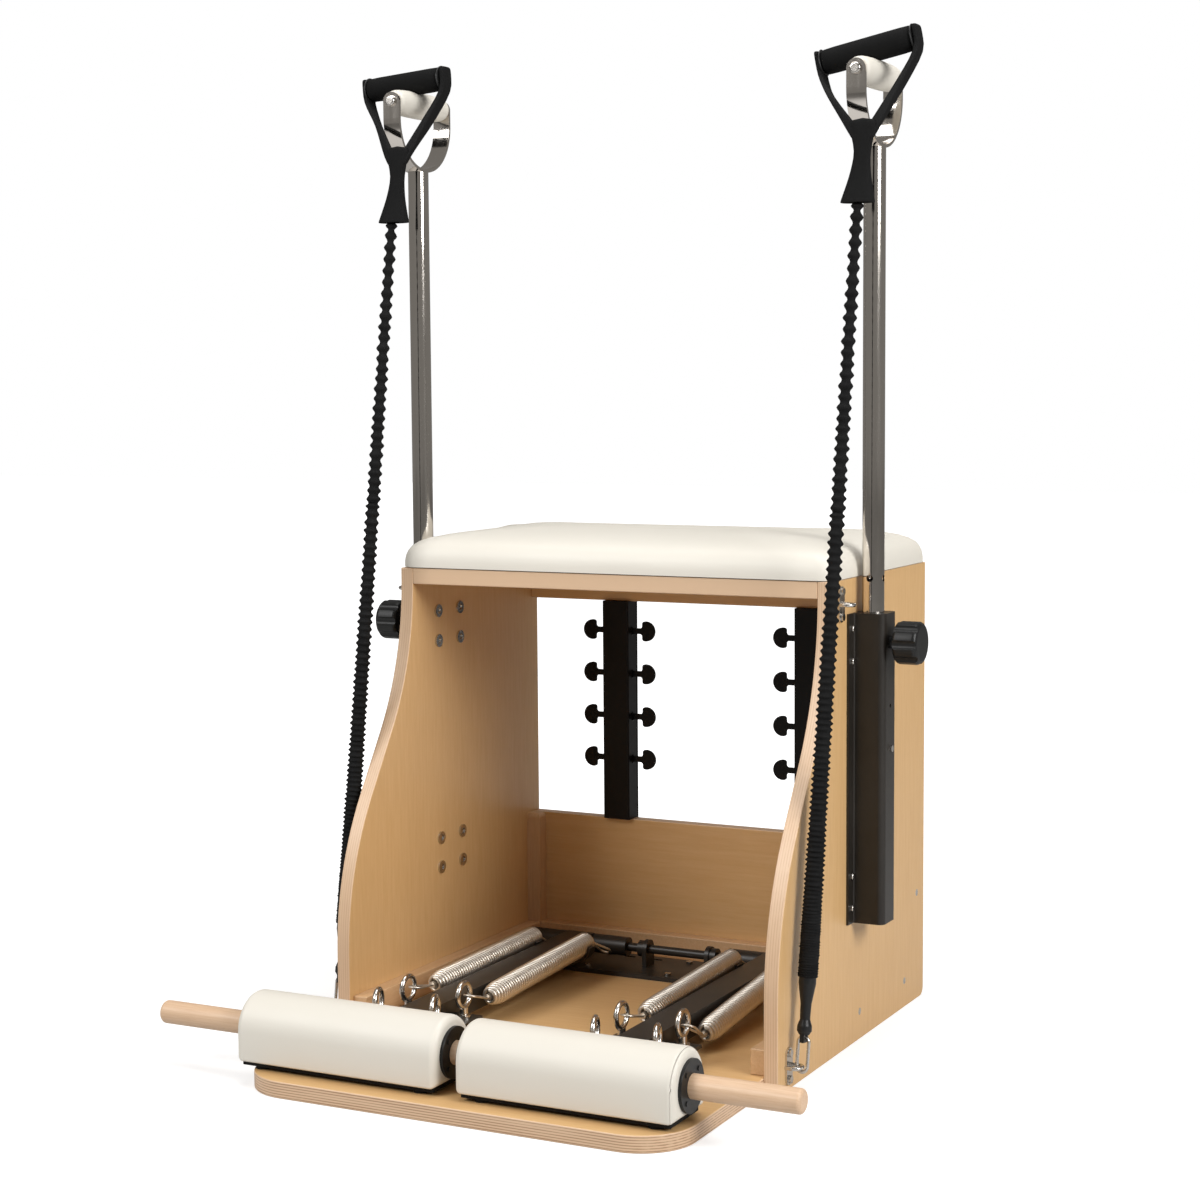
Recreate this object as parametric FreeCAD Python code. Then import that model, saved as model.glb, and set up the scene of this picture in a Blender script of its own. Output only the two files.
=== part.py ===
import FreeCAD, Part
import math
import os
from FreeCAD import Placement, Rotation, Vector

# A pilates chair: a plywood carcass with a padded seat, two sprung foot pedals on one hinge,
# and two height-adjustable poles that hold padded grips and D-handles on elastic cords.
# Frame: X to the right seen from the front, Y to the back, Z up, lengths in millimetres.
# The origin lies on the floor, under the middle of the base board.

# Clearances that the whole part shares
cut_overrun = 1.0
rest_gap = 0.3
running_gap = 0.05

# Carcass boards
chair_width = 600.0
panel_thickness = 18.0
panel_height = 581.0
base_depth = 758.0
base_thickness = 20.0
base_corner_radius = 65.0
board_edge_radius = 1.5
panel_foot_front = -127.0
panel_seat_front = 39.0
panel_curve_start_height = 105.0
panel_curve_end_drop = 16.0
panel_curve_lean_degrees = 33.5
panel_rear_corner_radius = 12.0
seat_board_thickness = 21.0
rear_board_thickness = 18.0
rear_board_height = 187.0
rear_rail_height = 45.0
batten_width = 20.0
batten_height = 31.0
batten_front = -119.0
cleat_top_radius = 7.0

# Seat cushion: a crowned pad that covers the seat board and the panel tops
cushion_overhang = 2.0
cushion_height = 49.0
cushion_corner_radius = 22.0
cushion_crown_inset = 110.0
cushion_height_shares = (0.0, 0.15, 0.32, 0.46, 0.58, 0.69, 0.78, 0.86, 0.92, 0.965, 1.0)
cushion_inset_shares = (0.03, 0.0, 0.004, 0.03, 0.07, 0.14, 0.24, 0.39, 0.58, 0.82, 1.1)

# Spring posts at the back and their plates of mushroom hooks
post_offset = 144.5
post_width = 40.0
post_depth = 27.0
post_wall = 2.0
hook_plate_thickness = 3.0
back_strip_thickness = 3.0
back_strip_lap = 36.0
hook_top_drop = 42.0
hook_pitch = 60.3
hook_count = 4
hook_neck_length = 16.0
hook_neck_width = 8.0
hook_cap_radius = 14.0
hook_cap_depth = 19.5
hook_fillet = 3.5

# Pedal hinge on the base board
pedal_middle = -9.0
axle_rise = 23.0
axle_diameter = 12.0
hinge_side_gap = 8.0
hinge_rear_gap = 44.0
hinge_plate_depth = 100.0
hinge_plate_thickness = 6.0
hinge_plate_corner_radius = 6.0
lug_thickness = 6.0
lug_radius = 13.0
inner_lug_offset = 46.0
slot_offsets = (49.0, 90.0)
slot_length = 17.0
slot_width = 5.5
slot_from_rear = 16.0
collar_diameter = 22.0
collar_length = 9.0

# Pedal arms: rectangular tube with a barrel at the hinge, ears for the eyebolts and a pad bracket
arm_width = 40.0
arm_height = 28.0
arm_wall = 2.5
barrel_diameter = 26.0
barrel_from_inner_lug = 26.5
barrel_from_plate_end = 24.5
ear_reach = 36.0
ear_thickness = 4.0
ear_margin = 18.0
bracket_thickness = 4.0
bracket_width = 120.0
bracket_height = 20.0

# Foot pads on the pedals, their end discs and rubber feet
pad_middle_gap = 25.0
pad_from_base_front = 23.0
pad_axis_rise = 33.5
pad_radius = 42.0
pad_corner_radius = 4.0
pad_end_rounding = 9.0
pad_station_shares = (0.0, 0.012, 0.035, 0.1, 0.5)
pad_inset_shares = (1.0, 0.42, 0.12, 0.0, 0.0)
disc_diameter = 60.0
disc_thickness = 4.0
disc_screw_circle = 44.0
disc_screw_count = 4
disc_screw_diameter = 6.0
disc_screw_head = 1.2
pad_board_thickness = 5.0
pad_board_inset = 6.0
foot_diameter = 18.0
foot_height = 9.0
foot_from_end = 27.5
foot_from_front = 17.0
dowel_diameter = 28.0
dowel_length = 834.0
dowel_end_rounding = 5.0
dowel_pad_gap = 0.6

# Eyebolts: a ring on a collar, screwed through the ears
eye_offset = 40.0
eye_row_setbacks = (78.0, 147.0)
eye_ring_diameter = 36.0
eye_wire = 6.5
eye_neck_diameter = 10.0
eye_collar_diameter = 18.0
eye_collar_height = 4.0
eye_seat_drop = 28.0
eye_seat_rise = 9.0
eye_stud_diameter = 8.0
eye_nut_diameter = 14.0
eye_nut_height = 5.0
eye_turn_degrees = (16.0, 0.0)

# Pedal springs: a wound wire with drawn-in ends, and a wire link on a stem at each end
spring_diameter = 30.0
spring_wire = 3.5
spring_turns = 24
spring_taper_turns = 1.0
spring_from_eye = 63.0
spring_from_axle = 62.0
spring_over_arm = 2.8
spring_front_drops = {"left_outer": 10.0, "left_inner": 17.0, "right_inner": 15.0, "right_outer": 28.0}
link_wire = 3.0
link_bend_radius = 8.0
link_rear_reach = 30.0
link_rear_side_shares = {"left_outer": 0.1, "left_inner": 0.45, "right_inner": 0.1, "right_outer": 0.3}
link_rear_back_share = 0.75
link_rear_drop_share = 0.55
stem_diameter = 8.0
stem_outside = 6.0
stem_inside = 20.0
stem_collar_diameter = 17.0
stem_collar_length = 4.0
cradle_from_spring_end = 21.0
cradle_length = 16.0
cradle_wall = 3.0
cradle_gap = 1.2
cradle_web = 12.0

# Pole sleeves on the outside of the panels, and the bushes inside them
pole_back = 129.0
sleeve_top_drop = 43.0
sleeve_length = 383.0
sleeve_wall = 3.0
sleeve_cavity_depth = 39.0
sleeve_cavity_width = 38.0
sleeve_flange = 17.0
sleeve_corner_radius = 8.0
sleeve_bend_radius = 2.0
sleeve_mark_drop = 114.0
sleeve_mark_diameter = 5.0
sleeve_stop_drop = 167.0
bush_heights = (62.0, 40.0)
bush_corner_radius = 6.0
sleeve_bolt_drops = (18.5, 58.5)
sleeve_bolt_rises = (19.5, 59.0)
bolt_diameter = 6.0
bolt_head_diameter = 8.0
bolt_head_height = 3.2
nut_cap_diameter = 17.0
nut_cap_height = 2.4
nut_socket_diameter = 8.0
nut_socket_depth = 1.4

# Poles with index holes, their yokes and padded grips
pole_diameter = 27.0
pole_wall = 2.0
pole_bottom_rise = 25.0
pole_top = 1093.0
index_hole_diameter = 8.5
index_pitch = 78.0
index_count = 4
yoke_strip = 24.0
yoke_thickness = 4.0
yoke_inner_radius = 61.0
yoke_weld_height = 4.0
yoke_spigot_length = 30.0
grip_over_bend = 22.0
grip_end_radius = 15.5
grip_middle_radius = 18.0
grip_end_gap = 0.5
grip_rod_diameter = 8.0
rod_head_diameter = 14.0
rod_head_height = 5.0

# Locking knobs
knob_drop = 36.0
knob_diameter = 53.0
knob_length = 32.0
knob_stand_off = 9.0
knob_flutes = 8
knob_flute_radius = 7.0
knob_flute_depth = 3.5
knob_edge_radius = 6.0
knob_boss_diameter = 16.0
stud_diameter = 10.0

# Pad eyes on the panels
pad_eye_low_inset = 30.0
pad_eye_low_height = 29.0
pad_eye_high_inset = 29.0
pad_eye_high_drop = 29.0
pad_eye_width = 18.0
pad_eye_length = 44.0
pad_eye_thickness = 2.5
pad_eye_wire = 5.0
pad_eye_loop_radius = 8.5
pad_eye_reach = 17.5
pad_eye_screw_spread = 31.0

# Elastic cords in gathered sleeves, with a snap hook and a tapered end at the bottom
cord_top_from_pole = 83.0
cord_top_shifts = {"left": 9.5, "right": 9.5}
cord_seat_depth = 2.0
cord_start = 105.0
cord_split_share = 0.71
cord_crest_diameter = 21.0
cord_valley_diameter = 16.4
cord_core_diameter = 9.0
cord_core_gap = 0.2
cord_ribs = 134
cord_gathering_share = 0.55
rib_shares = (0.0, 0.28, 0.72)
snap_wire = 4.0
snap_half_width = 6.5
snap_top = 36.0
end_stations = (105.0, 98.0, 74.0, 56.0, 49.0, 43.0, 38.5)
end_diameters = (20.0, 20.5, 13.0, 12.0, 17.0, 17.5, 12.0)
tongue_thickness = 5.0
tongue_width = 14.0
tongue_bottom = 29.5
tongue_hole_diameter = 5.9

# D-handles that hang over the near yoke arms: a foam bar, webbing and a flared skirt
bar_diameter = 31.0
bar_length = 115.0
bar_end_rounding = 3.0
bar_from_pole = 11.0
bar_rise = 27.0
bar_tilt_degrees = {"left": 3.7, "right": 10.8}
bar_yaw_degrees = {"left": -5.0, "right": -1.0}
bar_shifts = {"left": -9.0, "right": -4.0}
strap_thickness = 7.0
strap_depth = 24.0
strap_end_gap = 2.0
strap_bend_drop = 31.0
strap_bend_from_pole = 74.0
strap_bend_shares = {"left": 0.28, "right": 0.48}
strap_bend_depth = 8.0
strap_free_share = 0.5
strap_free_depth = 22.0
strap_low_drop = 74.0
strap_low_spread = 11.0
strap_low_width = 16.0
strap_low_depth = 7.0
skirt_shifts = {"left": 3.0, "right": 0.0}
neck_shifts = {"left": 19.5, "right": 15.5}
neck_drops = (60.0, 82.0, 98.0, 128.0, 158.0)
neck_widths = (34.0, 28.0, 19.0, 27.0, 42.0)
neck_depths = (7.0, 8.0, 9.0, 14.0, 27.0)

# Wood screws
screw_head_diameter = 9.0
screw_head_height = 2.5
screw_shank_diameter = 4.5
screw_grip = 14.0
panel_screw_shares = (0.19, 0.56, 0.92)
cleat_screw_share = 0.66
pan_head_height = 2.6
hinge_screw_shares = (-0.88, -0.49, 0.0, 0.49, 0.88)
hinge_screw_from_edge = 15.0
post_screw_spread = 22.0

# Places that follow from the sizes above
floor = 0.0
outer_face = chair_width / 2
inner_face = outer_face - panel_thickness
base_front = -base_depth / 2
rear_face = base_depth / 2
rear_board_front = rear_face - rear_board_thickness
rear_board_top = base_thickness + rear_board_height
seat_board_bottom = panel_height - seat_board_thickness
rear_rail_bottom = seat_board_bottom - rear_rail_height
batten_inner = inner_face - batten_width
cleat_front = rear_board_front - batten_width
panel_curve_end_height = panel_height - panel_curve_end_drop
hook_top_height = rear_rail_bottom - hook_top_drop
hook_plate_front = rear_face - (post_depth + hook_plate_thickness) / 2
hook_plate_back = hook_plate_front + hook_plate_thickness
hinge_plate_top = base_thickness + hinge_plate_thickness
hinge_plate_rear = rear_board_front - hinge_rear_gap
hinge_plate_front = hinge_plate_rear - hinge_plate_depth
hinge_plate_length = 2 * (batten_inner - abs(pedal_middle) - hinge_side_gap)
barrel_inner_end = inner_lug_offset + lug_thickness / 2 + barrel_from_inner_lug
barrel_outer_end = hinge_plate_length / 2 - barrel_from_plate_end
barrel_length = barrel_outer_end - barrel_inner_end
arm_offset = (barrel_inner_end + barrel_outer_end) / 2
axle_back = hinge_plate_rear - hinge_plate_depth / 2
axle_height = hinge_plate_top + axle_rise
arm_top = axle_height + arm_height / 2
arm_bottom = axle_height - arm_height / 2
pad_middle = {"left": pedal_middle - arm_offset, "right": pedal_middle + arm_offset}
pad_length = 2 * arm_offset - pad_middle_gap
pad_front = base_front + pad_from_base_front
pad_axis_front = pad_front + pad_radius
pad_rear = pad_axis_front + pad_radius
foot_spacing = pad_length - 2 * foot_from_end
pad_underside = base_thickness + foot_height
pad_axis_height = pad_underside + pad_axis_rise
eye_rows = [pad_rear + setback for setback in eye_row_setbacks]
eye_seat = arm_bottom + eye_seat_rise
eye_height = eye_seat + eye_seat_drop
spring_front = eye_rows[-1] + spring_from_eye
spring_rear = axle_back - spring_from_axle
spring_rear_height = arm_top + spring_over_arm
cradle_back = spring_rear - cradle_from_spring_end
pole_offset = outer_face + sleeve_cavity_depth / 2
sleeve_face = outer_face + sleeve_cavity_depth + sleeve_wall
sleeve_top = panel_height - sleeve_top_drop
sleeve_bottom = sleeve_top - sleeve_length
sleeve_mark_height = sleeve_top - sleeve_mark_drop
sleeve_stop_height = sleeve_top - sleeve_stop_drop
knob_height = sleeve_top - knob_drop
sleeve_bolt_spread = sleeve_cavity_width + 2 * (sleeve_wall + sleeve_bend_radius) + bolt_head_diameter
sleeve_bolt_heights = [sleeve_top - drop for drop in sleeve_bolt_drops]
sleeve_bolt_heights += [sleeve_bottom + rise for rise in sleeve_bolt_rises]
pole_bottom = sleeve_bottom + pole_bottom_rise
index_top_height = knob_height + index_pitch
yoke_outer_radius = yoke_inner_radius + yoke_thickness
yoke_bottom = pole_top + yoke_weld_height
yoke_centre = yoke_bottom + yoke_outer_radius
grip_height = yoke_centre + grip_over_bend
bar_back = pole_back - bar_from_pole
strap_bend_back = pole_back - strap_bend_from_pole
strap_bend_height = grip_height - strap_bend_drop
strap_low_height = grip_height - strap_low_drop
neck_heights = [grip_height - drop for drop in neck_drops]
cord_top_height = neck_heights[-1] + cord_seat_depth
cord_top_back = pole_back - cord_top_from_pole
pad_eye_low = (panel_foot_front + pad_eye_low_inset, pad_eye_low_height)
pad_eye_high = (panel_seat_front + pad_eye_high_inset, panel_height - pad_eye_high_drop)
loop_reach = outer_face + pad_eye_reach
split_rib = int(cord_ribs * cord_split_share)
side_signs = {"left": -1, "right": 1}
along_x = Vector(1, 0, 0)
along_y = Vector(0, 1, 0)
along_z = Vector(0, 0, 1)


def block(x_low, x_high, y_low, y_high, z_low, z_high):
    return Part.makeBox(x_high - x_low, y_high - y_low, z_high - z_low, Vector(x_low, y_low, z_low))


def rod(diameter, start, end):
    return Part.makeCylinder(diameter / 2, (end - start).Length, start, end - start)


def joined(shapes):
    return shapes[0].multiFuse(shapes[1:]).removeSplitter()


def mirrored(shape):
    return shape.mirror(Vector(0, 0, 0), along_x)


def group(shapes):
    solids = []
    for shape in shapes:
        solids.extend(shape.Solids)
    return Part.makeCompound(solids)


def edges_along(shape, direction):
    """The straight edges of a shape that run along a direction."""
    found = []
    for edge in shape.Edges:
        if edge.Curve.TypeId == "Part::GeomLine":
            if abs(abs(edge.tangentAt(edge.FirstParameter).dot(direction)) - 1) < 1e-6:
                found.append(edge)
    return found


def softened(shape, radius):
    return shape.makeFillet(radius, shape.Edges)


def on_circle(middle, radius, angle, first, second):
    return middle + first * (radius * math.cos(angle)) + second * (radius * math.sin(angle))


def arc_between(middle, radius, start, end, first, second):
    """An arc about a middle point, from one angle to another in the plane of two directions."""
    angles = (start, (start + end) / 2, end)
    points = [on_circle(middle, radius, angle, first, second) for angle in angles]
    return Part.Arc(*points).toShape()


def circle_wire(middle, normal, diameter):
    return Part.Wire(Part.Circle(middle, normal, diameter / 2).toShape())


def rounded_rectangle(x_low, x_high, y_low, y_high, height, radius):
    """A level outline of four lines and four quarter arcs."""
    edges = []
    corners = ((x_high, y_low, -0.5), (x_high, y_high, 0.0), (x_low, y_high, 0.5), (x_low, y_low, 1.0))
    ends = []
    for x, y, turn_share in corners:
        inward = Vector(x - math.copysign(radius, x - (x_low + x_high) / 2),
                        y - math.copysign(radius, y - (y_low + y_high) / 2), height)
        start = turn_share * math.pi
        ends.append((inward, start))
    for index, (middle, start) in enumerate(ends):
        arc = arc_between(middle, radius, start, start + math.pi / 2, along_x, along_y)
        next_middle, next_start = ends[(index + 1) % len(ends)]
        line_end = on_circle(next_middle, radius, next_start, along_x, along_y)
        edges.append(arc)
        edges.append(Part.LineSegment(arc.Vertexes[-1].Point, line_end).toShape())
    return Part.Wire(edges)


def side_panel():
    """The right side panel: its front edge is an S of two equal arcs and a leaning straight."""
    lean = math.radians(panel_curve_lean_degrees)
    set_back = panel_seat_front - panel_foot_front
    rise = panel_curve_end_height - panel_curve_start_height
    straight = set_back * math.sin(lean) / (1 - math.cos(lean)) - rise
    radius = (rise - straight * math.cos(lean)) / (2 * math.sin(lean))
    low_middle = Vector(inner_face, panel_foot_front + radius, panel_curve_start_height)
    high_middle = Vector(inner_face, panel_seat_front - radius, panel_curve_end_height)
    low_arc = arc_between(low_middle, radius, math.pi, math.pi - lean, along_y, along_z)
    high_arc = arc_between(high_middle, radius, -lean, 0, along_y, along_z)
    corner_middle = Vector(inner_face, rear_face - panel_rear_corner_radius, floor + panel_rear_corner_radius)
    corner = arc_between(corner_middle, panel_rear_corner_radius, 0, -math.pi / 2, along_y, along_z)
    stops = [high_arc.Vertexes[-1].Point, Vector(inner_face, panel_seat_front, panel_height),
             Vector(inner_face, rear_face, panel_height), corner.Vertexes[0].Point]
    edges = [low_arc, Part.LineSegment(low_arc.Vertexes[-1].Point, high_arc.Vertexes[0].Point).toShape(),
             high_arc]
    for start, end in zip(stops, stops[1:]):
        edges.append(Part.LineSegment(start, end).toShape())
    foot = Vector(inner_face, panel_foot_front, floor)
    edges.append(corner)
    edges.append(Part.LineSegment(corner.Vertexes[-1].Point, foot).toShape())
    edges.append(Part.LineSegment(foot, low_arc.Vertexes[0].Point).toShape())
    panel = Part.Face(Part.Wire(edges)).extrude(Vector(panel_thickness, 0, 0))
    return softened(panel, board_edge_radius)


def base_plate():
    plate = block(-inner_face, inner_face, base_front, rear_face, floor, base_thickness)
    front_edges = [edge for edge in edges_along(plate, along_z) if edge.CenterOfMass.y < 0]
    plate = plate.makeFillet(base_corner_radius, front_edges)
    return softened(plate, board_edge_radius)


def seat_board():
    board = block(-inner_face, inner_face, panel_seat_front, rear_face, seat_board_bottom, panel_height)
    return softened(board, board_edge_radius)


def rear_top_rail():
    rail = block(-inner_face, inner_face, rear_board_front, rear_face, rear_rail_bottom, seat_board_bottom)
    return softened(rail, board_edge_radius)


def rear_board():
    board = block(-inner_face, inner_face, rear_board_front, rear_face, base_thickness, rear_board_top)
    return softened(board, board_edge_radius)


def corner_cleat():
    """The upright batten in the right rear corner, with a rounded top."""
    cleat = block(batten_inner, inner_face, cleat_front, rear_board_front, base_thickness, rear_board_top)
    top = [edge for edge in cleat.Edges
           if edge.CenterOfMass.z > rear_board_top - cut_overrun
           and (edge.CenterOfMass.x < batten_inner + cut_overrun
                or edge.CenterOfMass.y < cleat_front + cut_overrun)]
    return cleat.makeFillet(cleat_top_radius, top)


def side_batten():
    batten = block(batten_inner, inner_face, batten_front, cleat_front, base_thickness,
                   base_thickness + batten_height)
    return softened(batten, board_edge_radius)


def rear_batten():
    batten = block(-batten_inner, batten_inner, cleat_front, rear_board_front, base_thickness,
                   base_thickness + batten_height)
    return softened(batten, board_edge_radius)


def seat_cushion():
    """A crowned pad: its sides draw in at the bottom and its top swells to the middle."""
    wires = []
    for height_share, inset_share in zip(cushion_height_shares, cushion_inset_shares):
        inset = cushion_crown_inset * inset_share
        half_width = outer_face + cushion_overhang - inset
        wires.append(rounded_rectangle(-half_width, half_width, panel_seat_front - cushion_overhang + inset,
                                       rear_face + cushion_overhang - inset,
                                       panel_height + cushion_height * height_share, cushion_corner_radius))
    return Part.makeLoft(wires, True, True)


def spring_post():
    """The right post: two channels that close on the hook plate, between the rear board and the rail."""
    low = post_offset - post_width / 2
    high = post_offset + post_width / 2
    front = rear_face - post_depth
    outside = block(low, high, front, rear_face, rear_board_top, rear_rail_bottom)
    outside = outside.makeFillet(post_wall, edges_along(outside, along_z))
    inside = block(low + post_wall, high - post_wall, front + post_wall, rear_face - post_wall,
                   rear_board_top - cut_overrun, rear_rail_bottom + cut_overrun)
    parting = block(low - cut_overrun, high + cut_overrun, hook_plate_front, hook_plate_back,
                    rear_board_top - cut_overrun, rear_rail_bottom + cut_overrun)
    return outside.cut(inside).cut(parting)


def hook_cap(side_sign, height):
    """One mushroom hook: a neck and a D-shaped cap, cut from the plate."""
    edge = post_offset + side_sign * post_width / 2
    neck_end = edge + side_sign * hook_neck_length
    neck = block(min(edge - side_sign * hook_neck_width, neck_end + side_sign * hook_fillet),
                 max(edge - side_sign * hook_neck_width, neck_end + side_sign * hook_fillet),
                 hook_plate_front, hook_plate_back,
                 height - hook_neck_width / 2, height + hook_neck_width / 2)
    middle = Vector(neck_end + side_sign * (hook_cap_depth - hook_cap_radius), hook_plate_front, height)
    disc = Part.makeCylinder(hook_cap_radius, hook_plate_thickness, middle, along_y)
    keep = block(min(neck_end, neck_end + side_sign * hook_cap_depth),
                 max(neck_end, neck_end + side_sign * hook_cap_depth),
                 hook_plate_front, hook_plate_back,
                 height - hook_cap_radius, height + hook_cap_radius)
    return neck.fuse(disc.common(keep))


def hook_plate():
    """The right plate held between the two channels of a post, with hooks on both sides."""
    pieces = [block(post_offset - post_width / 2, post_offset + post_width / 2, hook_plate_front,
                    hook_plate_back, rear_board_top, rear_rail_bottom)]
    for index in range(hook_count):
        for side_sign in (-1, 1):
            pieces.append(hook_cap(side_sign, hook_top_height - index * hook_pitch))
    plate = joined(pieces)
    roots = []
    for edge in edges_along(plate, along_y):
        reach = abs(abs(edge.CenterOfMass.x - post_offset) - post_width / 2)
        from_ends = min(edge.CenterOfMass.z - rear_board_top, rear_rail_bottom - edge.CenterOfMass.z)
        if from_ends > cut_overrun and reach < hook_neck_length + cut_overrun:
            roots.append(edge)
    return plate.makeFillet(hook_fillet, roots)


def back_strip():
    """The right strip behind a post, with laps on the board and the rail for its screws."""
    return block(post_offset - post_width / 2, post_offset + post_width / 2, rear_face,
                 rear_face + back_strip_thickness, rear_board_top - back_strip_lap,
                 rear_rail_bottom + back_strip_lap)


def lug(x_middle):
    """An upright ear of the hinge with a round top about the axle."""
    low = x_middle - lug_thickness / 2
    stem = block(low, low + lug_thickness, axle_back - lug_radius, axle_back + lug_radius,
                 base_thickness, axle_height)
    head = Part.makeCylinder(lug_radius, lug_thickness, Vector(low, axle_back, axle_height), along_x)
    return stem.fuse(head)


def lug_places():
    outer = arm_offset + barrel_length / 2 + rest_gap + lug_thickness / 2
    return [pedal_middle + sign * offset for sign in (-1, 1) for offset in (inner_lug_offset, outer)]


def hinge_plate():
    """The plate on the base board, its four ears and the oblong slots behind the axle."""
    plate = block(pedal_middle - hinge_plate_length / 2, pedal_middle + hinge_plate_length / 2,
                  hinge_plate_front, hinge_plate_rear, base_thickness, hinge_plate_top)
    plate = plate.makeFillet(hinge_plate_corner_radius, edges_along(plate, along_z))
    shape = joined([plate] + [lug(x) for x in lug_places()])
    cuts = [rod(axle_diameter, Vector(pedal_middle - hinge_plate_length, axle_back, axle_height),
                Vector(pedal_middle + hinge_plate_length, axle_back, axle_height))]
    for offset in slot_offsets:
        for sign in (-1, 1):
            x = pedal_middle + sign * offset
            y = hinge_plate_rear - slot_from_rear
            half = (slot_length - slot_width) / 2
            low = base_thickness - cut_overrun
            depth = hinge_plate_thickness + 2 * cut_overrun
            cuts.append(block(x - half, x + half, y - slot_width / 2, y + slot_width / 2, low, low + depth))
            for end in (-half, half):
                cuts.append(Part.makeCylinder(slot_width / 2, depth, Vector(x + end, y, low), along_z))
    for screw in hinge_screws():
        cuts.append(screw)
    return shape.cut(cuts)


def hinge_axle():
    reach = arm_offset + barrel_length / 2 + rest_gap + lug_thickness + rest_gap
    return rod(axle_diameter, Vector(pedal_middle - reach, axle_back, axle_height),
               Vector(pedal_middle + reach, axle_back, axle_height))


def axle_collars():
    """Two clamp rings on the axle, against the outer sides of the inner ears."""
    rings = []
    for sign in (-1, 1):
        near = pedal_middle + sign * (inner_lug_offset + lug_thickness / 2)
        far = near + sign * collar_length
        start = Vector(near, axle_back, axle_height)
        end = Vector(far, axle_back, axle_height)
        rings.append(rod(collar_diameter, start, end).cut(rod(axle_diameter, start, end)))
    return group(rings)


def pedal_arm(side):
    """The welded arm: tube, hinge barrel, eyebolt ears and the bracket behind the pad."""
    middle = pad_middle[side]
    half = arm_width / 2
    bracket_rear = pad_rear + bracket_thickness
    tube = block(middle - half, middle + half, bracket_rear, axle_back, arm_bottom, arm_top)
    hollow = block(middle - half + arm_wall, middle + half - arm_wall, bracket_rear,
                   axle_back - barrel_diameter / 2, arm_bottom + arm_wall, arm_top - arm_wall)
    barrel_start = Vector(middle - barrel_length / 2, axle_back, axle_height)
    barrel_end = Vector(middle + barrel_length / 2, axle_back, axle_height)
    barrel = rod(barrel_diameter, barrel_start, barrel_end)
    bracket_low = pad_axis_height - bracket_height
    bracket = block(middle - bracket_width / 2, middle + bracket_width / 2, pad_rear, bracket_rear,
                    bracket_low, pad_axis_height)
    pieces = [tube.cut(hollow), barrel, bracket]
    for sign in (-1, 1):
        near = middle + sign * half
        far = near + sign * ear_reach
        pieces.append(block(min(near, far), max(near, far), eye_rows[0] - ear_margin,
                            eye_rows[1] + ear_margin, eye_seat - ear_thickness, eye_seat))
    arm = joined(pieces)
    cuts = [rod(axle_diameter + 2 * running_gap, barrel_start, barrel_end)]
    for x, y in eye_places(side):
        cuts.append(rod(eye_stud_diameter, Vector(x, y, arm_bottom), Vector(x, y, eye_seat)))
    return arm.cut(cuts)


def pad_section(x, inset):
    """An arch across the pad: flat underside, small corners, straight sides and a round top."""
    radius = pad_radius - inset
    low = pad_underside + inset
    corner = pad_corner_radius
    top_middle = Vector(x, pad_axis_front, pad_axis_height)
    front_corner = Vector(x, pad_axis_front - radius + corner, low + corner)
    rear_corner = Vector(x, pad_axis_front + radius - corner, low + corner)
    arcs = [arc_between(rear_corner, corner, -math.pi / 2, 0, along_y, along_z),
            arc_between(top_middle, radius, 0, math.pi / 2, along_y, along_z),
            arc_between(top_middle, radius, math.pi / 2, math.pi, along_y, along_z),
            arc_between(front_corner, corner, math.pi, 3 * math.pi / 2, along_y, along_z)]
    edges = []
    for index, arc in enumerate(arcs):
        start = arc.Vertexes[-1].Point
        end = arcs[(index + 1) % len(arcs)].Vertexes[0].Point
        edges.append(arc)
        if (end - start).Length > rest_gap:
            edges.append(Part.LineSegment(start, end).toShape())
    return Part.Wire(edges)


def pedal_pad(side):
    """A roll of padding along X with drawn-in ends and a bore for the dowel."""
    start = pad_middle[side] - pad_length / 2
    stations = list(zip(pad_station_shares, pad_inset_shares))
    stations += [(1 - share, inset) for share, inset in reversed(stations[:-1])]
    wires = []
    for share, inset in stations:
        wires.append(pad_section(start + pad_length * share, pad_end_rounding * inset))
    pad = Part.makeLoft(wires, True, True)
    bore = rod(dowel_diameter + 2 * dowel_pad_gap, Vector(start, pad_axis_front, pad_axis_height),
               Vector(start + pad_length, pad_axis_front, pad_axis_height))
    return pad.cut(bore)


def pad_discs(side):
    """The black discs on both ends of a pad, each with its screw heads."""
    discs = []
    for sign in (-1, 1):
        near = Vector(pad_middle[side] + sign * pad_length / 2, pad_axis_front, pad_axis_height)
        far = near + along_x * (sign * disc_thickness)
        disc = rod(disc_diameter, near, far)
        heads = []
        for index in range(disc_screw_count):
            angle = (index + 1 / 2) * 2 * math.pi / disc_screw_count
            place = on_circle(far, disc_screw_circle / 2, angle, along_y, along_z)
            heads.append(rod(disc_screw_diameter, place, place + along_x * (sign * disc_screw_head)))
        disc = joined([disc] + heads)
        discs.append(disc.cut(rod(dowel_diameter + 2 * running_gap, near, far)))
    return group(discs)


def pad_feet(side):
    """The black board a pad is stapled to, with the two feet it rests on."""
    half = pad_length / 2 - pad_board_inset
    board_bottom = pad_underside - pad_board_thickness
    pieces = [block(pad_middle[side] - half, pad_middle[side] + half, pad_front + pad_board_inset,
                    pad_rear - pad_board_inset, board_bottom, pad_underside)]
    for sign in (-1, 1):
        place = Vector(pad_middle[side] + sign * foot_spacing / 2, pad_front + foot_from_front,
                       base_thickness)
        pieces.append(Part.makeCylinder(foot_diameter / 2, board_bottom - base_thickness, place, along_z))
    return joined(pieces)


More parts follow.
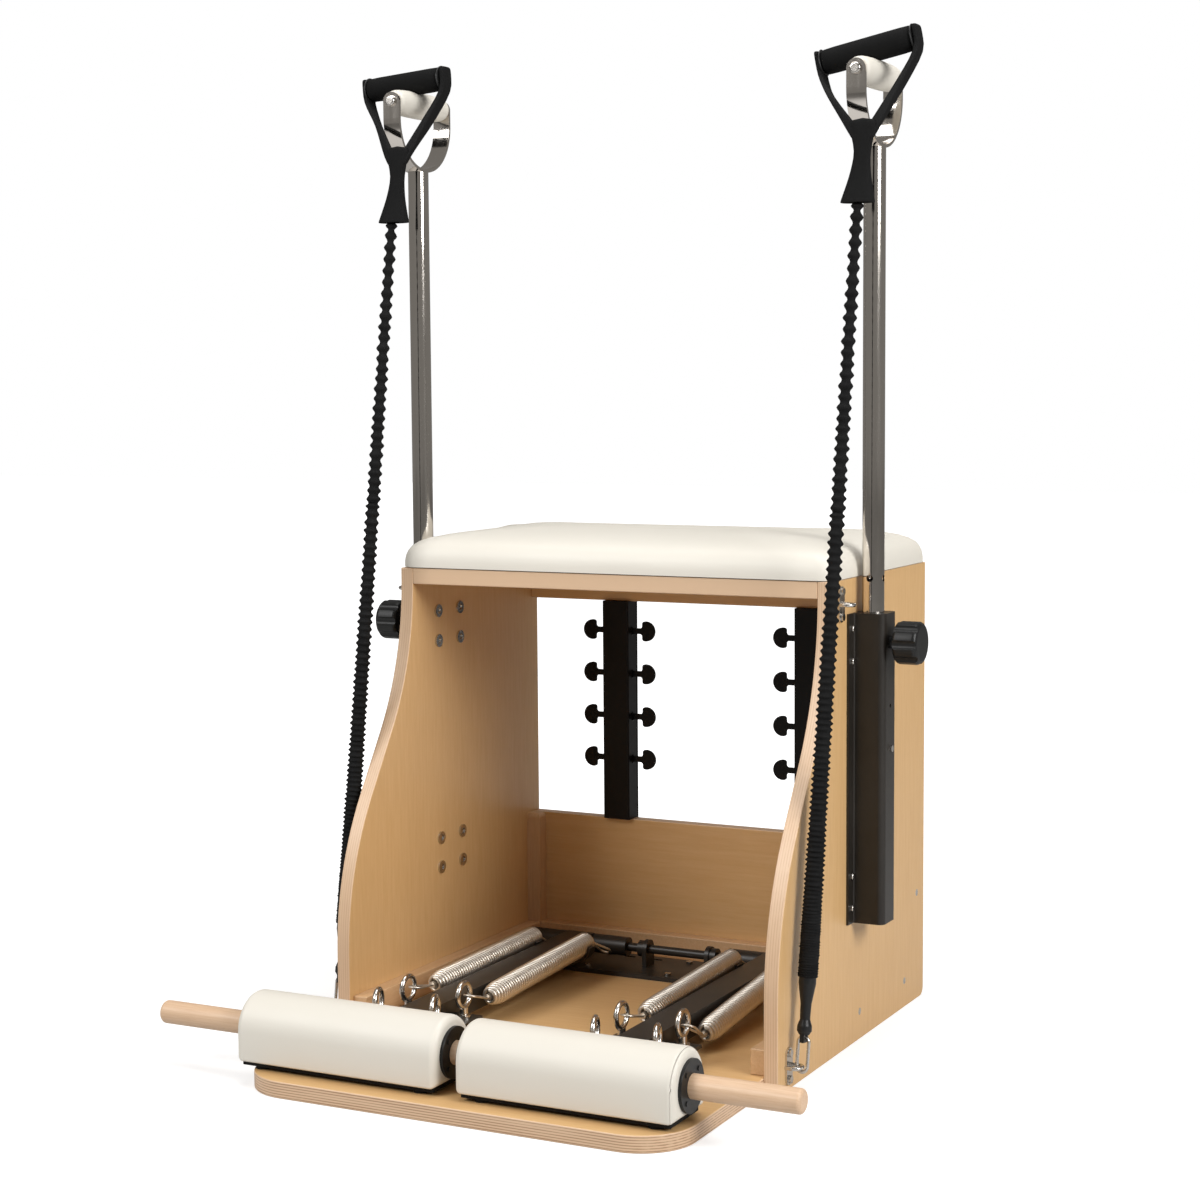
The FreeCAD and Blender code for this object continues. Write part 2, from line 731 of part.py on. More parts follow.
def locking_dowel():
    half = dowel_length / 2
    dowel = rod(dowel_diameter, Vector(pedal_middle - half, pad_axis_front, pad_axis_height),
                Vector(pedal_middle + half, pad_axis_front, pad_axis_height))
    ends = [edge for edge in dowel.Edges if edge.Curve.TypeId == "Part::GeomCircle"]
    return dowel.makeFillet(dowel_end_rounding, ends)


def eye_places(side):
    middle = pad_middle[side]
    return [(middle + sign * eye_offset, row) for row in eye_rows for sign in (-1, 1)]


def eyebolts(side):
    """Four ring bolts on the ears of one pedal, each with its nut below."""
    bolts = []
    for x, y in eye_places(side):
        turn = math.radians(eye_turn_degrees[eye_rows.index(y)])
        normal = Vector(math.cos(turn), math.sin(turn), 0)
        ring_radius = (eye_ring_diameter - eye_wire) / 2
        ring = Part.makeTorus(ring_radius, eye_wire / 2, Vector(x, y, eye_height), normal)
        seat = Vector(x, y, eye_seat)
        collar = rod(eye_collar_diameter, seat, seat + along_z * eye_collar_height)
        neck = rod(eye_neck_diameter, seat, Vector(x, y, eye_height - ring_radius))
        under = seat - along_z * ear_thickness
        stud = rod(eye_stud_diameter, under - along_z * eye_nut_height, seat)
        nut = rod(eye_nut_diameter, under - along_z * eye_nut_height, under)
        bolts.append(joined([ring, collar, neck, stud, nut]))
    return group(bolts)


def spring_ends(name):
    """The points on a spring's axis where its winding starts and ends."""
    side, place = name.split("_")
    outward = -1 if (side == "left") == (place == "outer") else 1
    x = pad_middle[side] + outward * eye_offset
    start = Vector(x, spring_front, eye_height - spring_front_drops[name])
    return start, Vector(x, spring_rear, spring_rear_height)


def biarc(start, start_tangent, end, end_tangent):
    """Two arcs from one point and direction to another, joined on a shared tangent."""
    chord = end - start
    both = start_tangent + end_tangent
    across = 1 - start_tangent.dot(end_tangent)
    lean = chord.dot(both)
    reach = (-lean + math.sqrt(lean * lean + 2 * across * chord.dot(chord))) / (2 * across)
    first_corner = start + start_tangent * reach
    last_corner = end - end_tangent * reach
    middle = (first_corner + last_corner) / 2
    arcs = []
    for corner, near, far in ((first_corner, start, middle), (last_corner, middle, end)):
        inward = (near + far) / 2 - corner
        half_turn = math.acos(min(1, inward.Length / reach))
        half_turn = math.pi / 2 - half_turn
        radius = reach / math.tan(half_turn)
        crest = corner + inward / inward.Length * (radius / math.cos(half_turn) - radius)
        arcs.append(Part.Arc(near, crest, far).toShape())
    return arcs


def winding_radius(turn):
    """The wire's distance from the axis and its rate, drawn in over the first and last turns."""
    wide = (spring_diameter - spring_wire) / 2
    narrow = stem_diameter / 2 + rest_gap + spring_wire / 2
    from_end = min(turn, spring_turns - turn)
    if from_end >= spring_taper_turns:
        return wide, 0.0
    share = from_end / spring_taper_turns
    rate = (wide - narrow) * 6 * share * (1 - share) / spring_taper_turns
    grown = share * share * (3 - 2 * share)
    return narrow + (wide - narrow) * grown, rate if turn < spring_turns / 2 else -rate


def spring_coil(name):
    """One unbroken wound wire along the spring's axis."""
    start, end = spring_ends(name)
    axis = (end - start).normalize()
    length = (end - start).Length
    first = along_x
    second = axis.cross(first)
    pitch = length / spring_turns
    points = []
    for step in range(2 * spring_turns + 1):
        turn = step / 2
        angle = 2 * math.pi * turn
        radius, rate = winding_radius(turn)
        out = first * math.cos(angle) + second * math.sin(angle)
        round_way = second * math.cos(angle) - first * math.sin(angle)
        tangent = round_way * (2 * math.pi * radius) + out * rate + axis * pitch
        points.append((start + axis * (pitch * turn) + out * radius, tangent.normalize()))
    edges = []
    for (near, near_tangent), (far, far_tangent) in zip(points, points[1:]):
        edges.extend(biarc(near, near_tangent, far, far_tangent))
    path = Part.Wire(edges)
    coil = path.makePipeShell([circle_wire(points[0][0], points[0][1], spring_wire)], True, False)
    solid = coil if coil.ShapeType == "Solid" else Part.makeSolid(coil)
    tube_volume = math.pi * spring_wire ** 2 / 4 * path.Length
    print(name, "spring: volume share", round(solid.Volume / tube_volume, 4),
          "least gap", round(least_gap(path), 2))
    return solid


def least_gap(path):
    """The smallest free space between the wire and itself, measured on points a turn or so apart."""
    turn_length = math.pi * (spring_diameter - spring_wire)
    count = int(path.Length / spring_wire)
    points = path.discretize(Number=count)
    apart = int(turn_length / 4 / (path.Length / count))
    nearest = path.Length
    for index, point in enumerate(points):
        for other in points[index + apart:index + 6 * apart]:
            nearest = min(nearest, (other - point).Length)
    return nearest - spring_wire


def link(tip, bend_middle):
    """A teardrop of wire: two legs from a tip, tangent to a round bend."""
    reach = bend_middle - tip
    onward = reach / reach.Length
    sideways = along_x - onward * along_x.dot(onward)
    sideways = sideways / sideways.Length
    lean = math.asin(link_bend_radius / reach.Length)
    touch = []
    for sign in (-1, 1):
        angle = math.pi - (math.pi / 2 - lean)
        touch.append(on_circle(bend_middle, link_bend_radius, sign * angle, onward, sideways))
    pieces = [rod(link_wire, tip, touch[0]), rod(link_wire, tip, touch[1])]
    normal = onward.cross(sideways)
    section = Part.Face(circle_wire(touch[0], touch[0] - tip, link_wire))
    turn = 360 - 2 * math.degrees(math.pi / 2 - lean)
    pieces.append(section.revolve(bend_middle, normal, turn))
    return pieces


def eye_contact(name):
    """The place in an eyebolt's ring where a spring's front link hangs, and the pull direction."""
    start, end = spring_ends(name)
    axis = (end - start).normalize()
    tip = start - axis * stem_outside
    ring_middle = Vector(start.x, eye_rows[1], eye_height)
    pull = (tip - ring_middle).normalize()
    hang = (eye_ring_diameter / 2 - eye_wire) - link_wire / 2 - rest_gap
    return ring_middle + pull * hang, pull, tip


def stem(tip, inward):
    """The stem that holds a link: it passes the drawn-in winding and ends in a collar."""
    shaft = rod(stem_diameter, tip, tip + inward * (stem_outside + stem_inside))
    collar_start = tip + inward * (stem_outside + stem_inside - stem_collar_length)
    return [shaft, rod(stem_collar_diameter, collar_start, collar_start + inward * stem_collar_length)]


def spring_links(name):
    """The front link in its eyebolt and the free rear link of one spring."""
    start, end = spring_ends(name)
    axis = (end - start).normalize()
    place, pull, tip = eye_contact(name)
    front = joined(stem(tip, axis) + link(tip, place + pull * link_bend_radius))
    rear_tip = end + axis * stem_outside
    away = Vector(link_rear_side_shares[name], link_rear_back_share, -link_rear_drop_share).normalize()
    rear = joined(stem(rear_tip, axis * -1) + link(rear_tip, rear_tip + away * link_rear_reach))
    return group([front, rear])


def spring_cradle(name):
    """A half-round saddle under a spring's rear, on a web from the side of the pedal arm."""
    side = name.split("_")[0]
    start, end = spring_ends(name)
    share = (cradle_back - start.y) / (end.y - start.y)
    middle = Vector(start.x, cradle_back - cradle_length / 2, start.z + (end.z - start.z) * share)
    inner = spring_diameter / 2 + cradle_gap
    outer = inner + cradle_wall
    saddle = Part.makeCylinder(outer, cradle_length, middle, along_y)
    toward_arm = math.copysign(1, pad_middle[side] - start.x)
    arm_side = pad_middle[side] - toward_arm * arm_width / 2
    web_low = middle.z - outer
    web = block(min(start.x, arm_side), max(start.x, arm_side), middle.y, middle.y + cradle_length,
                web_low, web_low + cradle_web)
    below = block(start.x - outer, start.x + outer, middle.y, middle.y + cradle_length, web_low, middle.z)
    shape = joined([saddle.common(below), web])
    return shape.cut(Part.makeCylinder(inner, cradle_length, middle, along_y))


def pole_sleeve():
    """The right sleeve: a bent hat section with flanges on the panel."""
    half = sleeve_cavity_width / 2
    outer_half = half + sleeve_wall
    tip = outer_half + sleeve_flange
    outline = [(outer_face, -tip), (outer_face + sleeve_wall, -tip), (outer_face + sleeve_wall, -outer_half),
               (sleeve_face, -outer_half), (sleeve_face, outer_half), (outer_face + sleeve_wall, outer_half),
               (outer_face + sleeve_wall, tip), (outer_face, tip), (outer_face, half),
               (sleeve_face - sleeve_wall, half), (sleeve_face - sleeve_wall, -half), (outer_face, -half)]
    points = [Vector(x, pole_back + y, sleeve_bottom) for x, y in outline]
    shape = Part.Face(Part.makePolygon(points + points[:1])).extrude(Vector(0, 0, sleeve_top - sleeve_bottom))
    crown = []
    bends = []
    for edge in edges_along(shape, along_z):
        if abs(edge.CenterOfMass.x - sleeve_face) < cut_overrun:
            crown.append(edge)
        inside_bend = abs(edge.CenterOfMass.x - outer_face - sleeve_wall) < cut_overrun
        if inside_bend and abs(abs(edge.CenterOfMass.y - pole_back) - outer_half) < cut_overrun:
            bends.append(edge)
    shape = shape.makeFillet(sleeve_corner_radius, crown)
    bends = [edge for edge in edges_along(shape, along_z)
             if any((edge.CenterOfMass - bend.CenterOfMass).Length < cut_overrun for bend in bends)]
    shape = shape.makeFillet(sleeve_bend_radius, bends)
    inner_corners = [edge for edge in edges_along(shape, along_z)
                     if abs(edge.CenterOfMass.x - sleeve_face + sleeve_wall) < rest_gap]
    shape = shape.makeFillet(sleeve_corner_radius - sleeve_wall, inner_corners)
    cuts = [rod(stud_diameter + 2 * running_gap, Vector(outer_face, pole_back, knob_height),
                Vector(sleeve_face, pole_back, knob_height)),
            rod(sleeve_mark_diameter, Vector(outer_face, pole_back, sleeve_mark_height),
                Vector(sleeve_face, pole_back, sleeve_mark_height)),
            rod(bolt_diameter, Vector(outer_face, pole_back, sleeve_stop_height),
                Vector(sleeve_face, pole_back, sleeve_stop_height))]
    for y, z in sleeve_bolt_places():
        cuts.append(rod(bolt_diameter, Vector(outer_face, y, z), Vector(outer_face + sleeve_wall, y, z)))
    return shape.cut(cuts)


def sleeve_bolt_places():
    return [(pole_back + sign * sleeve_bolt_spread / 2, z) for z in sleeve_bolt_heights for sign in (-1, 1)]


def pole_bushes():
    """The upper and lower guide blocks inside the right sleeve, bored for the pole."""
    half = sleeve_cavity_width / 2
    spans = ((sleeve_top - bush_heights[0], sleeve_top), (sleeve_bottom, sleeve_bottom + bush_heights[1]))
    bushes = []
    for low, high in spans:
        bush = block(outer_face, outer_face + sleeve_cavity_depth, pole_back - half, pole_back + half,
                     low, high)
        far_edges = [edge for edge in edges_along(bush, along_z) if edge.CenterOfMass.x > pole_offset]
        bush = bush.makeFillet(bush_corner_radius, far_edges)
        bore = rod(pole_diameter + 2 * running_gap, Vector(pole_offset, pole_back, low),
                   Vector(pole_offset, pole_back, high))
        port = rod(stud_diameter + 2 * running_gap, Vector(pole_offset, pole_back, knob_height),
                   Vector(sleeve_face, pole_back, knob_height))
        bushes.append(bush.cut([bore, port]))
    return group(bushes)


def sleeve_bolts():
    """The bolts of the right sleeve: heads on the flange, capped nuts on the panel's inner face."""
    bolts = []
    for y, z in sleeve_bolt_places():
        flange = outer_face + sleeve_wall
        head = rod(bolt_head_diameter, Vector(flange, y, z), Vector(flange + bolt_head_height, y, z))
        rim = [edge for edge in head.Edges if edge.CenterOfMass.x > flange + bolt_head_height / 2
               and edge.Curve.TypeId == "Part::GeomCircle"]
        head = head.makeFillet(bolt_head_height / 2, rim)
        shank = rod(bolt_diameter, Vector(inner_face, y, z), Vector(flange, y, z))
        cap_end = Vector(inner_face - nut_cap_height, y, z)
        cap = rod(nut_cap_diameter, cap_end, Vector(inner_face, y, z))
        socket = rod(nut_socket_diameter, cap_end, cap_end + along_x * nut_socket_depth)
        bolts.append(joined([head, shank, cap.cut(socket)]))
    stop_end = sleeve_face + bolt_head_height
    stop_head = rod(bolt_head_diameter, Vector(sleeve_face, pole_back, sleeve_stop_height),
                    Vector(stop_end, pole_back, sleeve_stop_height))
    stop_tip = pole_offset + pole_diameter / 2 + rest_gap
    stop_shank = rod(bolt_diameter, Vector(stop_tip, pole_back, sleeve_stop_height),
                     Vector(sleeve_face, pole_back, sleeve_stop_height))
    bolts.append(joined([stop_head, stop_shank]))
    return group(bolts)


def pole():
    """The right pole: a steel tube, cross-drilled with index holes."""
    low = Vector(pole_offset, pole_back, pole_bottom)
    high = Vector(pole_offset, pole_back, pole_top)
    tube = rod(pole_diameter, low, high).cut(rod(pole_diameter - 2 * pole_wall, low, high))
    holes = []
    for index in range(index_count):
        middle = Vector(pole_offset, pole_back, index_top_height - index * index_pitch)
        for direction in (along_x, along_y):
            reach = direction * (pole_diameter / 2 + cut_overrun)
            holes.append(rod(index_hole_diameter, middle - reach, middle + reach))
    return tube.cut(holes)


def yoke():
    """The right yoke: a U of flat strip welded on the pole's top, with a spigot in the tube."""
    low_x = pole_offset - yoke_strip / 2
    middle = Vector(low_x, pole_back, yoke_centre)
    ring = Part.makeCylinder(yoke_outer_radius, yoke_strip, middle, along_x)
    widest = max(yoke_strip, pole_diameter)
    inside_start = Vector(pole_offset - widest / 2, pole_back, yoke_centre)
    inside = Part.makeCylinder(yoke_inner_radius, widest, inside_start, along_x)
    below = block(low_x, low_x + yoke_strip, pole_back - yoke_outer_radius, pole_back + yoke_outer_radius,
                  yoke_bottom, yoke_centre)
    pole_end = Vector(pole_offset, pole_back, pole_top)
    weld = rod(pole_diameter, pole_end, Vector(pole_offset, pole_back, yoke_centre))
    spigot = rod(pole_diameter - 2 * pole_wall, pole_end - along_z * yoke_spigot_length, pole_end)
    pieces = [ring.common(below), weld, spigot]
    cuts = [inside]
    for sign in (-1, 1):
        near = pole_back + sign * yoke_inner_radius
        far = pole_back + sign * yoke_outer_radius
        inner_end = Vector(pole_offset, near, grip_height)
        outer_end = Vector(pole_offset, far, grip_height)
        pieces.append(block(low_x, low_x + yoke_strip, min(near, far), max(near, far),
                            yoke_centre, grip_height))
        pieces.append(rod(yoke_strip, inner_end, outer_end))
        cuts.append(rod(grip_rod_diameter, inner_end, outer_end))
    return joined(pieces).cut(cuts)


def grip():
    """The right grip: a padded roll between the yoke arms, fullest in the middle."""
    half = yoke_inner_radius - grip_end_gap
    middle = Vector(pole_offset, pole_back, grip_height)
    front = middle - along_y * half
    rear = middle + along_y * half
    crest = Part.Arc(front + along_x * grip_end_radius, middle + along_x * grip_middle_radius,
                     rear + along_x * grip_end_radius).toShape()
    bore = along_x * (grip_rod_diameter / 2)
    stops = [rear + along_x * grip_end_radius, rear + bore, front + bore, front + along_x * grip_end_radius]
    edges = [crest] + [Part.LineSegment(start, end).toShape() for start, end in zip(stops, stops[1:])]
    return Part.Face(Part.Wire(edges)).revolve(middle, along_y, 360)


def grip_rod():
    """The rod through the right grip, with a round head outside each yoke arm."""
    pieces = []
    for sign in (-1, 1):
        arm_face = Vector(pole_offset, pole_back + sign * yoke_outer_radius, grip_height)
        head = rod(rod_head_diameter, arm_face, arm_face + along_y * (sign * rod_head_height))
        rim = [edge for edge in head.Edges if edge.Curve.TypeId == "Part::GeomCircle"
               and abs(edge.CenterOfMass.y - arm_face.y) > rod_head_height / 2]
        pieces.append(head.makeFillet(rod_head_height / 2, rim))
    shaft = rod(grip_rod_diameter, Vector(pole_offset, pole_back - yoke_outer_radius, grip_height),
                Vector(pole_offset, pole_back + yoke_outer_radius, grip_height))
    return joined([shaft] + pieces)


def knob():
    """The right locking knob: a fluted head on a stud that reaches through the sleeve to the pole."""
    near = sleeve_face + knob_stand_off
    far = near + knob_length
    head = rod(knob_diameter, Vector(near, pole_back, knob_height), Vector(far, pole_back, knob_height))
    rims = [edge for edge in head.Edges if edge.Curve.TypeId == "Part::GeomCircle"]
    head = head.makeFillet(knob_edge_radius, rims)
    flutes = []
    for index in range(knob_flutes):
        angle = 2 * math.pi * index / knob_flutes
        reach = knob_diameter / 2 + knob_flute_radius - knob_flute_depth
        start = on_circle(Vector(near, pole_back, knob_height), reach, angle, along_y, along_z)
        flutes.append(rod(2 * knob_flute_radius, start, start + along_x * knob_length))
    boss = rod(knob_boss_diameter, Vector(sleeve_face + rest_gap, pole_back, knob_height),
               Vector(near, pole_back, knob_height))
    tip = pole_offset + pole_diameter / 2 + rest_gap
    stud = rod(stud_diameter, Vector(tip, pole_back, knob_height), Vector(near, pole_back, knob_height))
    return joined([head.cut(flutes), boss, stud])


def pad_eye(place):
    """A right pad eye: an oblong plate with a level loop of round wire."""
    y, z = place
    half = pad_eye_width / 2
    straight = (pad_eye_length - pad_eye_width) / 2
    plate_face = outer_face + pad_eye_thickness
    pieces = [block(outer_face, plate_face, y - half, y + half, z - straight, z + straight)]
    for sign in (-1, 1):
        end = Vector(outer_face, y, z + sign * straight)
        pieces.append(rod(pad_eye_width, end, end + along_x * pad_eye_thickness))
    bend = Vector(loop_reach - pad_eye_loop_radius, y, z)
    for sign in (-1, 1):
        side_way = along_y * (sign * pad_eye_loop_radius)
        foot = Vector(outer_face, y, z) + side_way
        pieces.append(rod(pad_eye_wire, foot, bend + side_way))
    section = Part.Face(circle_wire(bend - along_y * pad_eye_loop_radius, along_x, pad_eye_wire))
    pieces.append(section.revolve(bend, along_z, 180))
    holes = [screw for screw in pad_eye_screws(place)]
    return joined(pieces).cut(holes)


def cord_frame(side):
    """The cord's line: the pad eye's loop it hangs from, its direction and its whole length."""
    sign = side_signs[side]
    anchor = Vector(sign * loop_reach, pad_eye_low[0], pad_eye_low[1])
    top = Vector(sign * pole_offset + cord_top_shifts[side], cord_top_back, cord_top_height)
    onward = (top - anchor).normalize()
    across = (along_x - onward * along_x.dot(onward)).normalize()
    return anchor, onward, across, (top - anchor).Length


def snap_hook(side):
    """A closed loop of wire that joins the pad eye and the cord's end."""
    anchor, onward, across, length = cord_frame(side)
    bottom = -(pad_eye_wire + snap_wire) / 2 - rest_gap
    low = anchor + onward * (bottom + snap_half_width)
    high = anchor + onward * (snap_top - snap_half_width)
    normal = onward.cross(across)
    pieces = []
    for sign in (-1, 1):
        aside = across * (sign * snap_half_width)
        pieces.append(rod(snap_wire, low + aside, high + aside))
    top_section = Part.Face(circle_wire(high - across * snap_half_width, onward, snap_wire))
    low_section = Part.Face(circle_wire(low + across * snap_half_width, onward, snap_wire))
    pieces.append(top_section.revolve(high, normal, 180))
    pieces.append(low_section.revolve(low, normal, 180))
    return joined(pieces)


def cord_end(side):
    """The tapered end of a cord: a turned body and a flat tongue with a hole for the snap hook."""
    anchor, onward, across, length = cord_frame(side)
    outline = [anchor + onward * end_stations[0]]
    for station, diameter in zip(end_stations, end_diameters):
        outline.append(anchor + onward * station + across * (diameter / 2))
    outline.append(anchor + onward * end_stations[-1])
    body = Part.Face(Part.makePolygon(outline + outline[:1])).revolve(anchor, onward, 360)
    through = onward.cross(across)
    tongue = Part.makeBox(tongue_thickness, tongue_width, end_stations[-2] - tongue_bottom)
    turn = Rotation(across, through, onward, "ZXY")
    corner = anchor + onward * tongue_bottom - across * (tongue_thickness / 2) - through * (tongue_width / 2)
    tongue.Placement = Placement(corner, turn)
    hole_middle = anchor + onward * snap_top
    hole = rod(tongue_hole_diameter, hole_middle - across * tongue_thickness,
               hole_middle + across * tongue_thickness)
    return joined([body, tongue]).cut(hole)


def rib_station(side, index):
    """The place along the cord where a rib starts: ribs crowd together towards the bottom."""
    length = cord_frame(side)[3]
    share = index / cord_ribs
    gathered = (1 - cord_gathering_share) * share + cord_gathering_share * share * share
    return cord_start + (length - cord_start) * gathered


def cord_stretch(side, first_rib, last_rib):
    """A stretch of gathered sleeve with its ribs, and the elastic core in its bore."""
    anchor, onward, across, length = cord_frame(side)
    circles = []
    rib_diameters = (cord_valley_diameter, cord_crest_diameter, cord_crest_diameter)
    for index in range(first_rib, last_rib):
        near = rib_station(side, index)
        pitch = rib_station(side, index + 1) - near
        for share, diameter in zip(rib_shares, rib_diameters):
            circles.append(circle_wire(anchor + onward * (near + pitch * share), onward, diameter))
    start = anchor + onward * rib_station(side, first_rib)
    end = anchor + onward * rib_station(side, last_rib)
    circles.append(circle_wire(end, onward, cord_valley_diameter))
    sleeve = Part.makeLoft(circles, True, True).cut(rod(cord_core_diameter, start, end))
    core = rod(cord_core_diameter - 2 * cord_core_gap, start, end)
    return group([sleeve, core])


def bar_frame(side):
    """The foam bar's middle and direction: it lies across the grip, tilted and turned."""
    tilt = math.radians(bar_tilt_degrees[side])
    yaw = math.radians(bar_yaw_degrees[side])
    direction = Vector(math.cos(yaw) * math.cos(tilt), math.sin(yaw) * math.cos(tilt), math.sin(tilt))
    middle_x = side_signs[side] * pole_offset + bar_shifts[side]
    return Vector(middle_x, bar_back, grip_height + bar_rise), direction


def handle_bar(side):
    """A foam bar with rounded ends, pressed in where it rests on the grip."""
    middle, direction = bar_frame(side)
    half = direction * (bar_length / 2)
    bar = rod(bar_diameter, middle - half, middle + half)
    ends = [edge for edge in bar.Edges if edge.Curve.TypeId == "Part::GeomCircle"]
    bar = bar.makeFillet(bar_end_rounding, ends)
    grip_middle = Vector(side_signs[side] * pole_offset, bar_back, grip_height)
    dent = rod(2 * (grip_middle_radius + rest_gap), grip_middle - along_y * bar_diameter,
               grip_middle + along_y * bar_diameter)
    return bar.cut(dent)


def level_rectangle(middle, width, depth):
    corners = []
    for x_sign, y_sign in ((-1, -1), (1, -1), (1, 1), (-1, 1)):
        corners.append(middle + Vector(x_sign * width / 2, y_sign * depth / 2, 0))
    return Part.makePolygon(corners + corners[:1])


def handle_strap(side):
    """The webbing of a D-handle: two bands from the bar's ends to a neck, and a flared skirt.

    The left band crosses in front of the yoke's arm, the right band hangs free beside it.
    """
    middle, direction = bar_frame(side)
    upward = (along_z - direction * direction.z).normalize()
    neck_x = side_signs[side] * pole_offset + neck_shifts[side]
    cord_top_x = side_signs[side] * pole_offset + cord_top_shifts[side] + skirt_shifts[side]
    pieces = []
    for sign in (-1, 1):
        end = middle + direction * (sign * (bar_length / 2 + strap_end_gap + strap_thickness / 2))
        low = Vector(neck_x + sign * strap_low_spread, cord_top_back, strap_low_height)
        top = end + upward * (bar_diameter / 2)
        under = end - upward * (bar_diameter / 2)
        if sign < 0:
            bend_x = low.x + (end.x - low.x) * strap_bend_shares[side]
            bend = Vector(bend_x, strap_bend_back, strap_bend_height)
            bend_depth = strap_bend_depth
        else:
            bend = low + (under - low) * strap_free_share
            bend_depth = strap_free_depth
        wires = [level_rectangle(top, strap_thickness, strap_depth),
                 level_rectangle(under, strap_thickness, strap_depth),
                 level_rectangle(bend, strap_thickness, bend_depth),
                 level_rectangle(low, strap_low_width, strap_low_depth)]
        pieces.append(Part.makeLoft(wires, True, True))
    wires = []
    for height, width, depth in zip(neck_heights, neck_widths, neck_depths):
        share = min(1, max(0, (neck_heights[2] - height) / (neck_heights[2] - cord_top_height)))
        place = Vector(neck_x + (cord_top_x - neck_x) * share, cord_top_back, height)
        oval = Part.Ellipse(place + along_x * (width / 2), place + along_y * (depth / 2), place)
        wires.append(Part.Wire(oval.toShape()))
    pieces.append(Part.makeLoft(wires, True, False))
    skirt = joined(pieces)
    anchor, onward, across, length = cord_frame(side)
    top = anchor + onward * length
    pocket = rod(cord_crest_diameter + 2 * running_gap, top - onward * cord_start, top)
    return skirt.cut(pocket)


def panel_screws():
    """The countersunk screws through the right panel into its battens and cleat."""
    screws = []
    batten_length = cleat_front - batten_front
    batten_middle = base_thickness + batten_height / 2
    places = [(batten_front + batten_length * share, batten_middle) for share in panel_screw_shares]
    places.append(((cleat_front + rear_board_front) / 2,
                   base_thickness + rear_board_height * cleat_screw_share))
    for y, z in places:
        neck = Vector(outer_face - screw_head_height, y, z)
        head = rod(screw_head_diameter, neck, Vector(outer_face, y, z))
        shank = rod(screw_shank_diameter, Vector(inner_face - screw_grip, y, z), neck)
        screws.append(joined([head, shank]))
    return screws


def hinge_screws():
    """The round-head screws that hold the hinge plate to the base board."""
    screws = []
    for y in (hinge_plate_front + hinge_screw_from_edge, hinge_plate_rear - hinge_screw_from_edge):
        for share in hinge_screw_shares:
            place = Vector(pedal_middle + share * hinge_plate_length / 2, y, hinge_plate_top)
            head = rod(screw_head_diameter, place, place + along_z * pan_head_height)
            shank = rod(screw_shank_diameter, place - along_z * screw_grip, place)
            screws.append(joined([head, shank]))
    return screws


def post_screws():
    """The round-head screws through the laps of the right back strip."""
    screws = []
    back = rear_face + back_strip_thickness
    for z in (rear_board_top - back_strip_lap / 2, rear_rail_bottom + back_strip_lap / 2):
        for sign in (-1, 1):
            place = Vector(post_offset + sign * post_screw_spread / 2, back, z)
            head = rod(screw_head_diameter, place, place + along_y * pan_head_height)
            shank = rod(screw_shank_diameter, place - along_y * screw_grip, place)
            screws.append(joined([head, shank]))
    return screws


def pad_eye_screws(place):
    """The two round-head screws of a right pad eye."""
    y, z = place
    screws = []
    for sign in (-1, 1):
        seat = Vector(outer_face + pad_eye_thickness, y, z + sign * pad_eye_screw_spread / 2)
        head = rod(screw_head_diameter, seat, seat + along_x * pan_head_height)
        shank = rod(screw_shank_diameter, seat - along_x * screw_grip, seat)
        screws.append(joined([head, shank]))
    return screws


right_screws = panel_screws() + post_screws() + pad_eye_screws(pad_eye_low) + pad_eye_screws(pad_eye_high)
screws = right_screws + [mirrored(screw) for screw in right_screws] + hinge_screws()
right_bolts = sleeve_bolts()
bolts = group([right_bolts, mirrored(right_bolts)])
drilled_right = side_panel().cut(right_screws + [right_bolts])
drilled_batten = side_batten().cut(panel_screws())
drilled_cleat = corner_cleat().cut(panel_screws())
screws_at_back = post_screws() + [mirrored(screw) for screw in post_screws()]
drilled_back_strip = back_strip().cut(post_screws())
right_hook_plates = [hook_plate(), drilled_back_strip]
right_eyes = [pad_eye(pad_eye_low), pad_eye(pad_eye_high)]

nodes = {
    "base_plate": base_plate().cut(hinge_screws()),
    "left_side_panel": mirrored(drilled_right),
    "right_side_panel": drilled_right,
    "seat_board": seat_board(),
    "rear_top_rail": rear_top_rail().cut(screws_at_back),
    "rear_board": rear_board().cut(screws_at_back),
    "corner_cleats": group([drilled_cleat, mirrored(drilled_cleat)]),
    "base_battens": group([drilled_batten, mirrored(drilled_batten), rear_batten()]),
    "seat_cushion": seat_cushion(),
    "spring_posts": group([spring_post(), mirrored(spring_post())]),
    "spring_hook_plates": group(right_hook_plates + [mirrored(plate) for plate in right_hook_plates]),
    "hinge_plate": hinge_plate(),
    "hinge_axle": hinge_axle(),
    "axle_collars": axle_collars(),
    "pole_sleeves": group([pole_sleeve(), mirrored(pole_sleeve())]),
    "pole_bushes": group([pole_bushes(), mirrored(pole_bushes())]),
    "pad_eyes": group(right_eyes + [mirrored(eye) for eye in right_eyes]),
    "snap_hooks": group([snap_hook(side) for side in side_signs]),
    "cord_ends": group([cord_end(side) for side in side_signs]),
    "sleeve_bolts": bolts,
    "wood_screws": group(screws),
    "locking_dowel": locking_dowel(),
}
